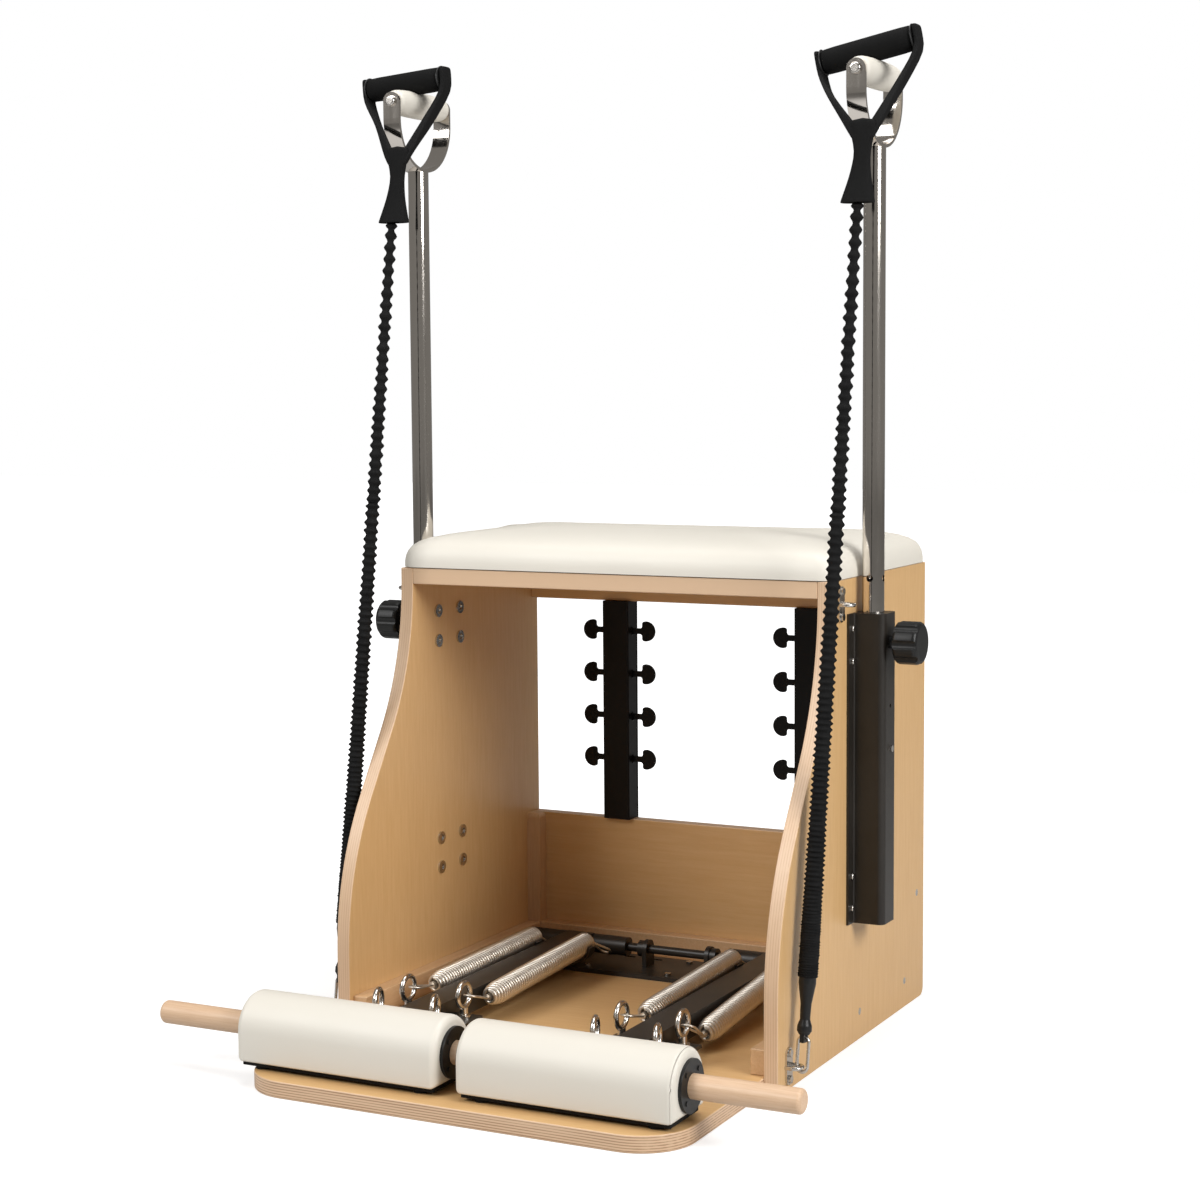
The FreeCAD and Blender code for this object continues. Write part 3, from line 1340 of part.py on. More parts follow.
for side in side_signs:
    nodes[side + "_pedal_arm"] = pedal_arm(side)
    nodes[side + "_pedal_pad"] = pedal_pad(side)
    nodes[side + "_pad_discs"] = pad_discs(side)
    nodes[side + "_pad_feet"] = pad_feet(side)
    nodes[side + "_eyebolts"] = eyebolts(side)
    own_springs = [name for name in spring_front_drops if name.startswith(side)]
    nodes[side + "_spring_cradles"] = group([spring_cradle(name) for name in own_springs])
    nodes[side + "_cord_lower"] = cord_stretch(side, 0, split_rib)
    nodes[side + "_cord_upper"] = cord_stretch(side, split_rib, cord_ribs)
    nodes[side + "_handle_bar"] = handle_bar(side)
    nodes[side + "_handle_strap"] = handle_strap(side)
for name in spring_front_drops:
    nodes[name + "_spring"] = spring_coil(name)
    nodes[name + "_spring_links"] = spring_links(name)
pair_makers = {"pole": pole, "yoke": yoke, "grip": grip, "grip_rod": grip_rod, "knob": knob}
for name, maker in pair_makers.items():
    shape = maker()
    nodes["right_" + name] = shape
    nodes["left_" + name] = mirrored(shape)

os.makedirs("parts", exist_ok=True)
for name, shape in nodes.items():
    shape.exportStep("parts/" + name + ".step")
for side in side_signs:
    print(side, "cord from hook to handle", round(cord_frame(side)[3], 1))
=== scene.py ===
import math
import random

import bmesh
import bpy
from mathutils import Matrix, Vector


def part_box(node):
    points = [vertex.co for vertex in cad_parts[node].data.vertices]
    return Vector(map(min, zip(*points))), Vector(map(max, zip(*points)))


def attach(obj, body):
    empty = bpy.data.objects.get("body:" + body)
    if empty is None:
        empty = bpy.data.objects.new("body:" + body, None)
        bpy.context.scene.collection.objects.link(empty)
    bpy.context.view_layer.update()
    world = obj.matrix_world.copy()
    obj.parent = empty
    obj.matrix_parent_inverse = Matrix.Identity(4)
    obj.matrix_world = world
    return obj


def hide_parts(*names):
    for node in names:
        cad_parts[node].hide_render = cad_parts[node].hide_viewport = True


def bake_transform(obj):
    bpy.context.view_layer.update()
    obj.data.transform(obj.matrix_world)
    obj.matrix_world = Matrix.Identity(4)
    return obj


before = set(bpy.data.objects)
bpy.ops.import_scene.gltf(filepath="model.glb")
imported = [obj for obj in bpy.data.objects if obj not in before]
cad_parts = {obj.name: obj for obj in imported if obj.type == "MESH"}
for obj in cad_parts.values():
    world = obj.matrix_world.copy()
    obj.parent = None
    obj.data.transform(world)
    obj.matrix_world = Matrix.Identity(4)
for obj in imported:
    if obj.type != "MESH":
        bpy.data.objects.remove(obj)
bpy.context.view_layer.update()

# Studio: a white floor that runs into a white backdrop, large soft lamps from the front, the side and
# above, and a long lens a little above seat height, as the chair was photographed.
scene = bpy.context.scene
scene.view_settings.view_transform = "Standard"
camera_place = Vector((1.3079, -2.5531, 0.8205))
camera_azimuth = math.radians(26.93)
camera_elevation = math.radians(5.34)
camera_roll = math.radians(-0.425)
sensor_width_mm = 36
lens_length_mm = 70.09
camera_reach = 60
backward = Vector((math.sin(camera_azimuth) * math.cos(camera_elevation),
                   -math.cos(camera_azimuth) * math.cos(camera_elevation), math.sin(camera_elevation)))
level_right = Vector((math.cos(camera_azimuth), math.sin(camera_azimuth), 0))
level_up = backward.cross(level_right)
picture_right = level_right * math.cos(camera_roll) + level_up * math.sin(camera_roll)
picture_up = level_up * math.cos(camera_roll) - level_right * math.sin(camera_roll)
lens = bpy.data.cameras.new("studio_camera")
lens.sensor_width = sensor_width_mm
lens.lens = lens_length_mm
lens.clip_end = camera_reach
camera = bpy.data.objects.new("studio_camera", lens)
camera.matrix_world = Matrix((picture_right, picture_up, backward)).transposed().to_4x4()
camera.location = camera_place
scene.collection.objects.link(camera)
scene.camera = camera


def set_inputs(node, **inputs):
    """Sets a shader node's inputs by socket name, with an underscore for each space."""
    for name, value in inputs.items():
        node.inputs[name.replace("_", " ")].default_value = value


def new_node(nodes, kind, **inputs):
    """A new shader node of a kind, with its inputs set."""
    made = nodes.new("ShaderNode" + kind)
    set_inputs(made, **inputs)
    return made


pure_white = (1, 1, 1, 1)
sky_fill_colour = (1.0, 0.97, 0.93, 1)
sky_fill_strength = 0.21
world = bpy.data.worlds.new("studio")
scene.world = world
world.use_nodes = True
sky_nodes = world.node_tree.nodes
sky_links = world.node_tree.links
sky_rays = new_node(sky_nodes, "LightPath")
sky_fill = sky_nodes["Background"]
set_inputs(sky_fill, Color=sky_fill_colour, Strength=sky_fill_strength)
sky_white = new_node(sky_nodes, "Background", Color=pure_white)
sky_mix = new_node(sky_nodes, "MixShader")
sky_links.new(sky_rays.outputs["Is Camera Ray"], sky_mix.inputs["Fac"])
sky_links.new(sky_fill.outputs["Background"], sky_mix.inputs[1])
sky_links.new(sky_white.outputs["Background"], sky_mix.inputs[2])
sky_links.new(sky_mix.outputs["Shader"], sky_nodes["World Output"].inputs["Surface"])

lamp_target = Vector((0, 0, 0.5))
lamps = {"key_lamp": (Vector((-1.6, -2.6, 2.6)), 1.6, 76),
         "side_lamp": (Vector((3.0, -0.9, 1.9)), 1.4, 84),
         "top_lamp": (Vector((0.2, 0.1, 3.4)), 2.0, 50)}
for lamp_name, (lamp_place, lamp_size, lamp_power) in lamps.items():
    lamp_data = bpy.data.lights.new(lamp_name, "AREA")
    lamp_data.size = lamp_size
    lamp_data.energy = lamp_power
    lamp = bpy.data.objects.new(lamp_name, lamp_data)
    lamp.location = lamp_place
    lamp.rotation_euler = (lamp_target - lamp_place).to_track_quat("-Z", "Y").to_euler()
    scene.collection.objects.link(lamp)


def shader(name, **inputs):
    """A new material with its nodes, its links and its main shader, whose plain inputs are set."""
    material = bpy.data.materials.new(name)
    material.use_nodes = True
    tree = material.node_tree
    main = tree.nodes["Principled BSDF"]
    set_inputs(main, **inputs)
    return material, tree.nodes, tree.links, main


def maths(nodes, links, operation, *values):
    """The result of a maths node on numbers and other nodes' outputs."""
    made = new_node(nodes, "Math")
    made.operation = operation
    for socket, value in zip(made.inputs, values):
        if isinstance(value, (int, float)):
            socket.default_value = value
        else:
            links.new(value, socket)
    return made.outputs[0]


def spread(nodes, links, value, clamp=True, **inputs):
    """A value mapped from one range to another."""
    made = new_node(nodes, "MapRange", **inputs)
    made.clamp = clamp
    links.new(value, made.inputs["Value"])
    return made.outputs["Result"]


def piece(name, shape, material, smooth=True):
    """Puts a finished bmesh into the scene as one piece."""
    mesh = bpy.data.meshes.new(name)
    bmesh.ops.recalc_face_normals(shape, faces=shape.faces)
    for face in shape.faces:
        face.smooth = smooth
    shape.to_mesh(mesh)
    shape.free()
    made = bpy.data.objects.new(name, mesh)
    mesh.materials.append(material)
    scene.collection.objects.link(made)
    return made


floor_half = 14.0
floor_grey = (0.62, 0.62, 0.62, 1)
shadow_reach = 0.7
glow_reach = 2.0
floor_paper, floor_nodes, floor_links, floor_shader = shader(
    "floor_paper", Base_Color=floor_grey, Roughness=0.9, Specular_IOR_Level=0.1, Emission_Color=pure_white)
floor_rays = new_node(floor_nodes, "LightPath")
floor_place = new_node(floor_nodes, "TexCoord")
floor_away = new_node(floor_nodes, "VectorMath")
floor_away.operation = "LENGTH"
floor_links.new(floor_place.outputs["Object"], floor_away.inputs[0])
floor_glow = spread(floor_nodes, floor_links, floor_away.outputs["Value"], From_Min=shadow_reach,
                    From_Max=glow_reach, To_Min=0.55, To_Max=1.1)
floor_lift = maths(floor_nodes, floor_links, "MULTIPLY", floor_rays.outputs["Is Camera Ray"], floor_glow)
floor_links.new(floor_lift, floor_shader.inputs["Emission Strength"])
floor_shape = bmesh.new()
bmesh.ops.create_grid(floor_shape, x_segments=1, y_segments=1, size=floor_half)
floor = piece("studio_floor", floor_shape, floor_paper)


# Carcass boards: side panels, base board, seat board, rear rail and rear board of lacquered birch plywood.
# The faces show a quiet straight grain, the sawn edges show the plies. Screws hold them to solid battens.
def group(name, inputs, outputs):
    """A shader node group with named sockets; returns it with its input and output nodes."""
    tree = bpy.data.node_groups.new(name, "ShaderNodeTree")
    for socket_name, kind in inputs.items():
        tree.interface.new_socket(socket_name, in_out="INPUT", socket_type="NodeSocket" + kind)
    for socket_name, kind in outputs.items():
        tree.interface.new_socket(socket_name, in_out="OUTPUT", socket_type="NodeSocket" + kind)
    return tree, tree.nodes.new("NodeGroupInput"), tree.nodes.new("NodeGroupOutput")


def use_group(nodes, tree, **inputs):
    """A node that places a node group, with its inputs set."""
    made = nodes.new("ShaderNodeGroup")
    made.node_tree = tree
    set_inputs(made, **inputs)
    return made


def noise(nodes, links, place, **inputs):
    """The value of a noise pattern at a place."""
    made = new_node(nodes, "TexNoise", **inputs)
    links.new(place, made.inputs["Vector"])
    return made.outputs["Fac"]


def ramp(nodes, links, share, stops):
    """The colour of a ramp with the given places and colours."""
    made = nodes.new("ShaderNodeValToRGB")
    elements = made.color_ramp.elements
    elements[0].position, elements[0].color = stops[0]
    elements[1].position, elements[1].color = stops[-1]
    for place, colour in stops[1:-1]:
        elements.new(place).color = colour
    links.new(share, made.inputs["Fac"])
    return made.outputs["Color"]


def mixed(nodes, links, share, first, second):
    """Two colours mixed by a share."""
    made = nodes.new("ShaderNodeMix")
    made.data_type = "RGBA"
    links.new(share, made.inputs["Factor"])
    links.new(first, made.inputs["A"])
    links.new(second, made.inputs["B"])
    return made.outputs["Result"]


def bump_to(nodes, links, height, main, strength, depth):
    """Joins a height to the main shader's normal."""
    made = new_node(nodes, "Bump", Strength=strength, Distance=depth)
    links.new(height, made.inputs["Height"])
    links.new(made.outputs["Normal"], main.inputs["Normal"])


def dress(material, *names):
    """Gives CAD nodes a material."""
    for name in names:
        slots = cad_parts[name].data.materials
        slots.clear()
        slots.append(material)


wood_grain, grain_in, grain_out = group(
    "wood_grain", {"Vector": "Vector", "Pale": "Color", "Deep": "Color"},
    {"Color": "Color", "Height": "Float"})
grain_place = grain_in.outputs["Vector"]
grain_streak = noise(wood_grain.nodes, wood_grain.links, grain_place, Scale=9, Detail=6, Roughness=0.62)
grain_pores = noise(wood_grain.nodes, wood_grain.links, grain_place, Scale=70, Detail=3)
pore_share = 0.35
grain_sum = maths(wood_grain.nodes, wood_grain.links, "MULTIPLY_ADD", grain_pores, pore_share, grain_streak)
grain_tone = spread(wood_grain.nodes, wood_grain.links, grain_sum, From_Min=0.45, From_Max=0.9)
grain_colour = mixed(wood_grain.nodes, wood_grain.links, grain_tone, grain_in.outputs["Pale"],
                     grain_in.outputs["Deep"])
wood_grain.links.new(grain_colour, grain_out.inputs["Color"])
wood_grain.links.new(grain_pores, grain_out.inputs["Height"])

birch_pale = (0.70, 0.445, 0.205, 1)
birch_deep = (0.635, 0.38, 0.158, 1)
ply_pale = (0.68, 0.47, 0.30, 1)
ply_deep = (0.40, 0.23, 0.125, 1)
faint_ply = (0.60, 0.39, 0.24, 1)
dark_ply_share = 0.12
pale_ply_share = 0.34
ply_wave_share = 0.5
pore_depth = 0.0004


def plywood(name, thickness_axis, face_start, thickness, plies, grain_scale, dark_ply):
    """Lacquered plywood: grain on its two faces, plies round its sawn edges."""
    material, nodes, links, main = shader(name, Roughness=0.42, Coat_Weight=0.3, Coat_Roughness=0.4)
    place = new_node(nodes, "TexCoord")
    stretch = new_node(nodes, "Mapping", Scale=grain_scale)
    links.new(place.outputs["Object"], stretch.inputs["Vector"])
    grain = use_group(nodes, wood_grain, Pale=birch_pale, Deep=birch_deep)
    links.new(stretch.outputs["Vector"], grain.inputs["Vector"])
    parts = new_node(nodes, "SeparateXYZ")
    links.new(place.outputs["Object"], parts.inputs["Vector"])
    depth = spread(nodes, links, parts.outputs[thickness_axis], clamp=False, From_Min=face_start,
                   From_Max=face_start + thickness, To_Max=plies * math.pi)
    wave = maths(nodes, links, "SINE", depth)
    flecks = noise(nodes, links, stretch.outputs["Vector"], Scale=6, Detail=3)
    rough_wave = maths(nodes, links, "MULTIPLY_ADD", wave, ply_wave_share, flecks)
    plies_colour = ramp(nodes, links, rough_wave, [(0.0, dark_ply), (dark_ply_share, dark_ply),
                                                   (pale_ply_share, ply_pale), (1.0, ply_pale)])
    facing = new_node(nodes, "SeparateXYZ")
    links.new(place.outputs["Normal"], facing.inputs["Vector"])
    upright = maths(nodes, links, "ABSOLUTE", facing.outputs[thickness_axis])
    on_face = spread(nodes, links, upright, From_Min=0.75, From_Max=0.95)
    colour = mixed(nodes, links, on_face, plies_colour, grain.outputs["Color"])
    links.new(colour, main.inputs["Base Color"])
    bump_to(nodes, links, grain.outputs["Height"], main, strength=0.08, depth=pore_depth)
    return material


upright_grain = (26, 26, 1.6)
level_grain = (1.6, 26, 26)
panel_thickness = 0.018
panel_outer = 0.300
panel_plies = 11
base_thickness = 0.020
base_plies = 13
seat_board_low = 0.560
seat_board_thickness = 0.021
seat_board_plies = 1
rear_board_front = 0.361
dress(plywood("right_panel_ply", "X", panel_outer - panel_thickness, panel_thickness, panel_plies,
              upright_grain, faint_ply), "right_side_panel")
dress(plywood("left_panel_ply", "X", -panel_outer, panel_thickness, panel_plies, upright_grain, faint_ply),
      "left_side_panel")
dress(plywood("base_ply", "Z", 0.0, base_thickness, base_plies, level_grain, ply_deep), "base_plate")
dress(plywood("seat_ply", "Z", seat_board_low, seat_board_thickness, seat_board_plies, level_grain,
              faint_ply), "seat_board")
dress(plywood("rear_ply", "Y", rear_board_front, panel_thickness, panel_plies, level_grain, faint_ply),
      "rear_board", "rear_top_rail")


def solid_wood(name, pale, deep, grain_scale):
    """Lacquered solid wood with a straight grain."""
    material, nodes, links, main = shader(name, Roughness=0.45, Coat_Weight=0.1, Coat_Roughness=0.3)
    place = new_node(nodes, "TexCoord")
    stretch = new_node(nodes, "Mapping", Scale=grain_scale)
    links.new(place.outputs["Object"], stretch.inputs["Vector"])
    grain = use_group(nodes, wood_grain, Pale=pale, Deep=deep)
    links.new(stretch.outputs["Vector"], grain.inputs["Vector"])
    links.new(grain.outputs["Color"], main.inputs["Base Color"])
    bump_to(nodes, links, grain.outputs["Height"], main, strength=0.1, depth=pore_depth)
    return material


batten_pale = (0.68, 0.45, 0.255, 1)
batten_deep = (0.58, 0.36, 0.185, 1)
cleat_grain = (40, 40, 2.5)
batten_grain = (40, 2.5, 40)
dress(solid_wood("cleat_wood", batten_pale, batten_deep, cleat_grain), "corner_cleats")
dress(solid_wood("batten_wood", batten_pale, batten_deep, batten_grain), "base_battens")


# Bright fixings: screws, bolts, pad eyes, snap hooks, eyebolts and grip rods, drawn or turned from steel
# and zinc plated. The finish is a soft mirror with faint rubbed patches.
metal_wear, wear_in, wear_out = group(
    "metal_wear", {"Vector": "Vector", "Scale": "Float", "Low": "Float", "High": "Float"},
    {"Roughness": "Float", "Height": "Float"})
wear_cloud = new_node(metal_wear.nodes, "TexNoise", Detail=5)
wear_range = new_node(metal_wear.nodes, "MapRange", From_Min=0.3, From_Max=0.7)
metal_wear.links.new(wear_in.outputs["Vector"], wear_cloud.inputs["Vector"])
metal_wear.links.new(wear_in.outputs["Scale"], wear_cloud.inputs["Scale"])
metal_wear.links.new(wear_cloud.outputs["Fac"], wear_range.inputs["Value"])
metal_wear.links.new(wear_in.outputs["Low"], wear_range.inputs["To Min"])
metal_wear.links.new(wear_in.outputs["High"], wear_range.inputs["To Max"])
metal_wear.links.new(wear_range.outputs["Result"], wear_out.inputs["Roughness"])
metal_wear.links.new(wear_cloud.outputs["Fac"], wear_out.inputs["Height"])
rub_depth = 0.0002


def metal(name, colour, low, high, scale, stretch_scale, strength):
    """Bare metal whose gloss varies a little, along a rubbing direction."""
    material, nodes, links, main = shader(name, Base_Color=colour, Metallic=1.0)
    place = new_node(nodes, "TexCoord")
    stretch = new_node(nodes, "Mapping", Scale=stretch_scale)
    links.new(place.outputs["Object"], stretch.inputs["Vector"])
    wear = use_group(nodes, metal_wear, Scale=scale, Low=low, High=high)
    links.new(stretch.outputs["Vector"], wear.inputs["Vector"])
    links.new(wear.outputs["Roughness"], main.inputs["Roughness"])
    bump_to(nodes, links, wear.outputs["Height"], main, strength=strength, depth=rub_depth)
    return material


zinc_colour = (0.60, 0.57, 0.53, 1)
even_rub = (1, 1, 1)
bright_zinc = metal("bright_zinc", zinc_colour, low=0.16, high=0.3, scale=60, stretch_scale=even_rub,
                    strength=0.02)
dress(bright_zinc, "wood_screws", "sleeve_bolts", "pad_eyes", "snap_hooks", "left_eyebolts",
      "right_eyebolts", "left_grip_rod", "right_grip_rod")


# Seat cushion: foam on a thin black backing board, under one tight cover of off-white leather.
# The cover draws in at its lower edge and swells to a low crown.
leather_grain, hide_in, hide_out = group(
    "leather_grain", {"Vector": "Vector", "Colour": "Color", "Shade": "Color"},
    {"Color": "Color", "Roughness": "Float", "Height": "Float"})
hide_place = hide_in.outputs["Vector"]
hide_cells = new_node(leather_grain.nodes, "TexVoronoi", Scale=620)
hide_cells.feature = "DISTANCE_TO_EDGE"
leather_grain.links.new(hide_place, hide_cells.inputs["Vector"])
hide_pebble = spread(leather_grain.nodes, leather_grain.links, hide_cells.outputs["Distance"],
                     From_Max=0.18)
hide_cloud = noise(leather_grain.nodes, leather_grain.links, hide_place, Scale=7, Detail=4)
hide_tone = mixed(leather_grain.nodes, leather_grain.links, hide_cloud, hide_in.outputs["Colour"],
                  hide_in.outputs["Shade"])
hide_gloss = spread(leather_grain.nodes, leather_grain.links, hide_cloud, To_Min=0.42, To_Max=0.56)
leather_grain.links.new(hide_tone, hide_out.inputs["Color"])
leather_grain.links.new(hide_gloss, hide_out.inputs["Roughness"])
leather_grain.links.new(hide_pebble, hide_out.inputs["Height"])

leather_pale = (0.745, 0.71, 0.635, 1)
leather_shade = (0.705, 0.665, 0.585, 1)
pebble_depth = 0.0003
white_leather, leather_nodes, leather_links, leather_shader = shader("white_leather")
leather_place = new_node(leather_nodes, "TexCoord")
leather = use_group(leather_nodes, leather_grain, Colour=leather_pale, Shade=leather_shade)
leather_links.new(leather_place.outputs["Object"], leather.inputs["Vector"])
leather_links.new(leather.outputs["Color"], leather_shader.inputs["Base Color"])
leather_links.new(leather.outputs["Roughness"], leather_shader.inputs["Roughness"])
bump_to(leather_nodes, leather_links, leather.outputs["Height"], leather_shader, strength=0.1,
        depth=pebble_depth)

backing_deep = (0.02, 0.02, 0.02, 1)
backing_pale = (0.04, 0.04, 0.04, 1)
backing_cloth, backing_nodes, backing_links, backing_shader = shader("backing_cloth", Roughness=0.8)
backing_place = new_node(backing_nodes, "TexCoord")
backing_weave = noise(backing_nodes, backing_links, backing_place.outputs["Object"], Scale=500)
backing_colour = ramp(backing_nodes, backing_links, backing_weave,
                      [(0.3, backing_deep), (0.7, backing_pale)])
backing_links.new(backing_colour, backing_shader.inputs["Base Color"])

cushion_low, cushion_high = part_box("seat_cushion")
cushion_middle = (cushion_low + cushion_high) / 2
cushion_half = (cushion_high - cushion_low) / 2
cushion_corner = 0.022
cushion_corner_steps = 8
backing_height = 0.0009
backing_inset = 0.003
backing_cuts = 1
cover_seat = cushion_low.z + backing_height
cover_cuts = 23
cover_profile = [(0.0, 0.0), (0.0075, 0.0), (0.0160, 0.0002), (0.0225, 0.0026), (0.0286, 0.0068),
                 (0.0340, 0.0142), (0.0383, 0.0252), (0.0421, 0.0416), (0.0452, 0.0622), (0.0473, 0.0880),
                 (0.0484, 0.1180), (0.0487, 0.1500)]
held_height = 0.008
cloth_steps = 20
cover_pressure = 2.0
cover_swell_limit = 0.0015


def plump(cover, pressure, limit):
    """Swells a closed cover with air pressure; its lowest rings stay, and no point moves past the limit."""
    start = [vertex.co.copy() for vertex in cover.data.vertices]
    held = cover.vertex_groups.new(name="held")
    held_points = [index for index, point in enumerate(start) if point.z < cover_seat + held_height]
    held.add(held_points, 1.0, "REPLACE")
    cloth = cover.modifiers.new("cover", "CLOTH")
    cloth.settings.use_pressure = True
    cloth.settings.uniform_pressure_force = pressure
    cloth.settings.effector_weights.gravity = 0
    cloth.settings.vertex_group_mass = "held"
    for step in range(1, cloth_steps + 1):
        scene.frame_set(step)
    settled = cover.evaluated_get(bpy.context.evaluated_depsgraph_get())
    moved = [vertex.co.copy() for vertex in settled.data.vertices]
    cover.modifiers.clear()
    scene.frame_set(1)
    for vertex, before, after in zip(cover.data.vertices, start, moved):
        step = after - before
        vertex.co = before + step * min(1, limit / max(step.length, limit))


def extruded(shape, cap):
    """Extrudes a face where it lies; returns the new face and its corners."""
    grown = bmesh.ops.extrude_face_region(shape, geom=[cap, *cap.edges, *cap.verts])["geom"]
    corners = [item for item in grown if isinstance(item, bmesh.types.BMVert)]
    face = [item for item in grown if isinstance(item, bmesh.types.BMFace)][0]
    return face, corners


def drawn_along(shape, cap, middle, axis, stations):
    """Draws a face along an axis through stations: a place, and two sizes as shares of the first face."""
    first_way, second_way = [number for number in range(3) if not axis[number]]
    loop = list(cap.verts)
    last_place = stations[0][0]
    last_shares = (1, 1)
    for number, (place, *shares) in enumerate(stations):
        if number:
            cap, loop = extruded(shape, cap)
        size = Vector((1, 1, 1))
        size[first_way] = shares[0] / last_shares[0]
        size[second_way] = shares[1] / last_shares[1]
        bmesh.ops.scale(shape, vec=size, space=Matrix.Translation(-middle), verts=loop)
        bmesh.ops.translate(shape, vec=axis * (place - last_place), verts=loop)
        last_place = place
        last_shares = shares


def cushion_outline(height, inset, cuts):
    """A level face with round corners, as large as the cushion less an inset."""
    shape = bmesh.new()
    half = cushion_half - Vector((inset, inset, 0))
    corners = [shape.verts.new((cushion_middle.x + x * half.x, cushion_middle.y + y * half.y, height))
               for x, y in ((-1, -1), (1, -1), (1, 1), (-1, 1))]
    shape.faces.new(corners)
    bmesh.ops.bevel(shape, geom=corners, offset=cushion_corner, segments=cushion_corner_steps, profile=0.5,
                    affect="VERTICES", material=-1)
    long_sides = [line for line in shape.edges if line.calc_length() > cushion_corner]
    bmesh.ops.subdivide_edges(shape, edges=long_sides, cuts=cuts)
    shape.faces.ensure_lookup_table()
    return shape


upward_axis = Vector((0, 0, 1))
backing_shape = cushion_outline(cushion_low.z, backing_inset, backing_cuts)
drawn_along(backing_shape, backing_shape.faces[0], cushion_middle, upward_axis,
            [(0, 1, 1), (backing_height, 1, 1)])
backing = piece("cushion_backing", backing_shape, backing_cloth, smooth=False)
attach(backing, "chair_frame")
cover_shape = cushion_outline(cover_seat, 0, cover_cuts)
drawn_along(cover_shape, cover_shape.faces[0], cushion_middle, upward_axis,
            [(rise, 1 - inset / cushion_half.x, 1 - inset / cushion_half.y)
             for rise, inset in cover_profile])
for line in cover_shape.edges:
    line.smooth = max(vert.co.z for vert in line.verts) > cover_seat + backing_height
cushion = piece("seat_cover", cover_shape, white_leather)
plump(cushion, cover_pressure, cover_swell_limit)
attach(cushion, "chair_frame")
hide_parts("seat_cushion")


# Black steelwork: spring posts with their hook plates, the pedal hinge, arms and cradles, and the pole
# sleeves, cut and welded from tube and plate, then powder coated, which leaves a fine orange-peel skin.
peel_depth = 0.0003


def powder_coat(name, deep, pale, shine):
    """Black powder coat with a fine orange-peel skin."""
    material, nodes, links, main = shader(name, Specular_IOR_Level=shine)
    place = new_node(nodes, "TexCoord").outputs["Object"]
    peel = noise(nodes, links, place, Scale=900, Detail=2)
    cloud = noise(nodes, links, place, Scale=14)
    colour = ramp(nodes, links, cloud, [(0.3, deep), (0.75, pale)])
    gloss = spread(nodes, links, cloud, To_Min=0.3, To_Max=0.48)
    links.new(colour, main.inputs["Base Color"])
    links.new(gloss, main.inputs["Roughness"])
    bump_to(nodes, links, peel, main, strength=0.12, depth=peel_depth)
    return material


warm_deep = (0.015, 0.012, 0.009, 1)
warm_pale = (0.026, 0.0215, 0.017, 1)
# The spring posts and their hook plates wear the same powder coat as the other steelwork, but in a darker
# copy: painted shade for the shade they stand in inside the chair.
post_shade_deep = (0.004, 0.0035, 0.003, 1)
post_shade_pale = (0.007, 0.006, 0.0055, 1)
warm_coat = powder_coat("warm_coat", warm_deep, warm_pale, shine=0.4)
painted_shade_coat = powder_coat("painted_shade_coat", post_shade_deep, post_shade_pale, shine=0.16)
dress(painted_shade_coat, "spring_posts", "spring_hook_plates")
dress(warm_coat, "hinge_plate", "hinge_axle", "axle_collars", "pole_sleeves",
      "left_pedal_arm", "right_pedal_arm", "left_spring_cradles", "right_spring_cradles")


# Foot pads: rolls of foam on a flat board, each wrapped in the same leather, with black discs screwed on
# the ends and small rubber feet below. One beech dowel slides through both rolls and locks the pedals.
skin_depth = 0.0003


def moulded(name, colour, low, high, grain_size, strength, shine):
    """Moulded plastic or rubber with a fine skin."""
    material, nodes, links, main = shader(name, Base_Color=colour, Specular_IOR_Level=shine)
    place = new_node(nodes, "TexCoord").outputs["Object"]
    skin = noise(nodes, links, place, Scale=grain_size, Detail=4)
    gloss = spread(nodes, links, skin, To_Min=low, To_Max=high)
    links.new(gloss, main.inputs["Roughness"])
    bump_to(nodes, links, skin, main, strength=strength, depth=skin_depth)
    return material


soft_black = (0.010, 0.010, 0.010, 1)
black_plastic = moulded("black_plastic", soft_black, low=0.3, high=0.45, grain_size=420, strength=0.12,
                        shine=0.3)
black_rubber = moulded("black_rubber", soft_black, low=0.6, high=0.8, grain_size=300, strength=0.2,
                       shine=0.15)
dress(black_plastic, "left_pad_discs", "right_pad_discs", "pole_bushes", "cord_ends", "left_knob",
      "right_knob")
dress(black_rubber, "left_pad_feet", "right_pad_feet")
beech_pale = (0.72, 0.51, 0.34, 1)
beech_deep = (0.60, 0.39, 0.24, 1)
dowel_grain = (2.2, 55, 55)
dress(solid_wood("dowel_beech", beech_pale, beech_deep, dowel_grain), "locking_dowel")

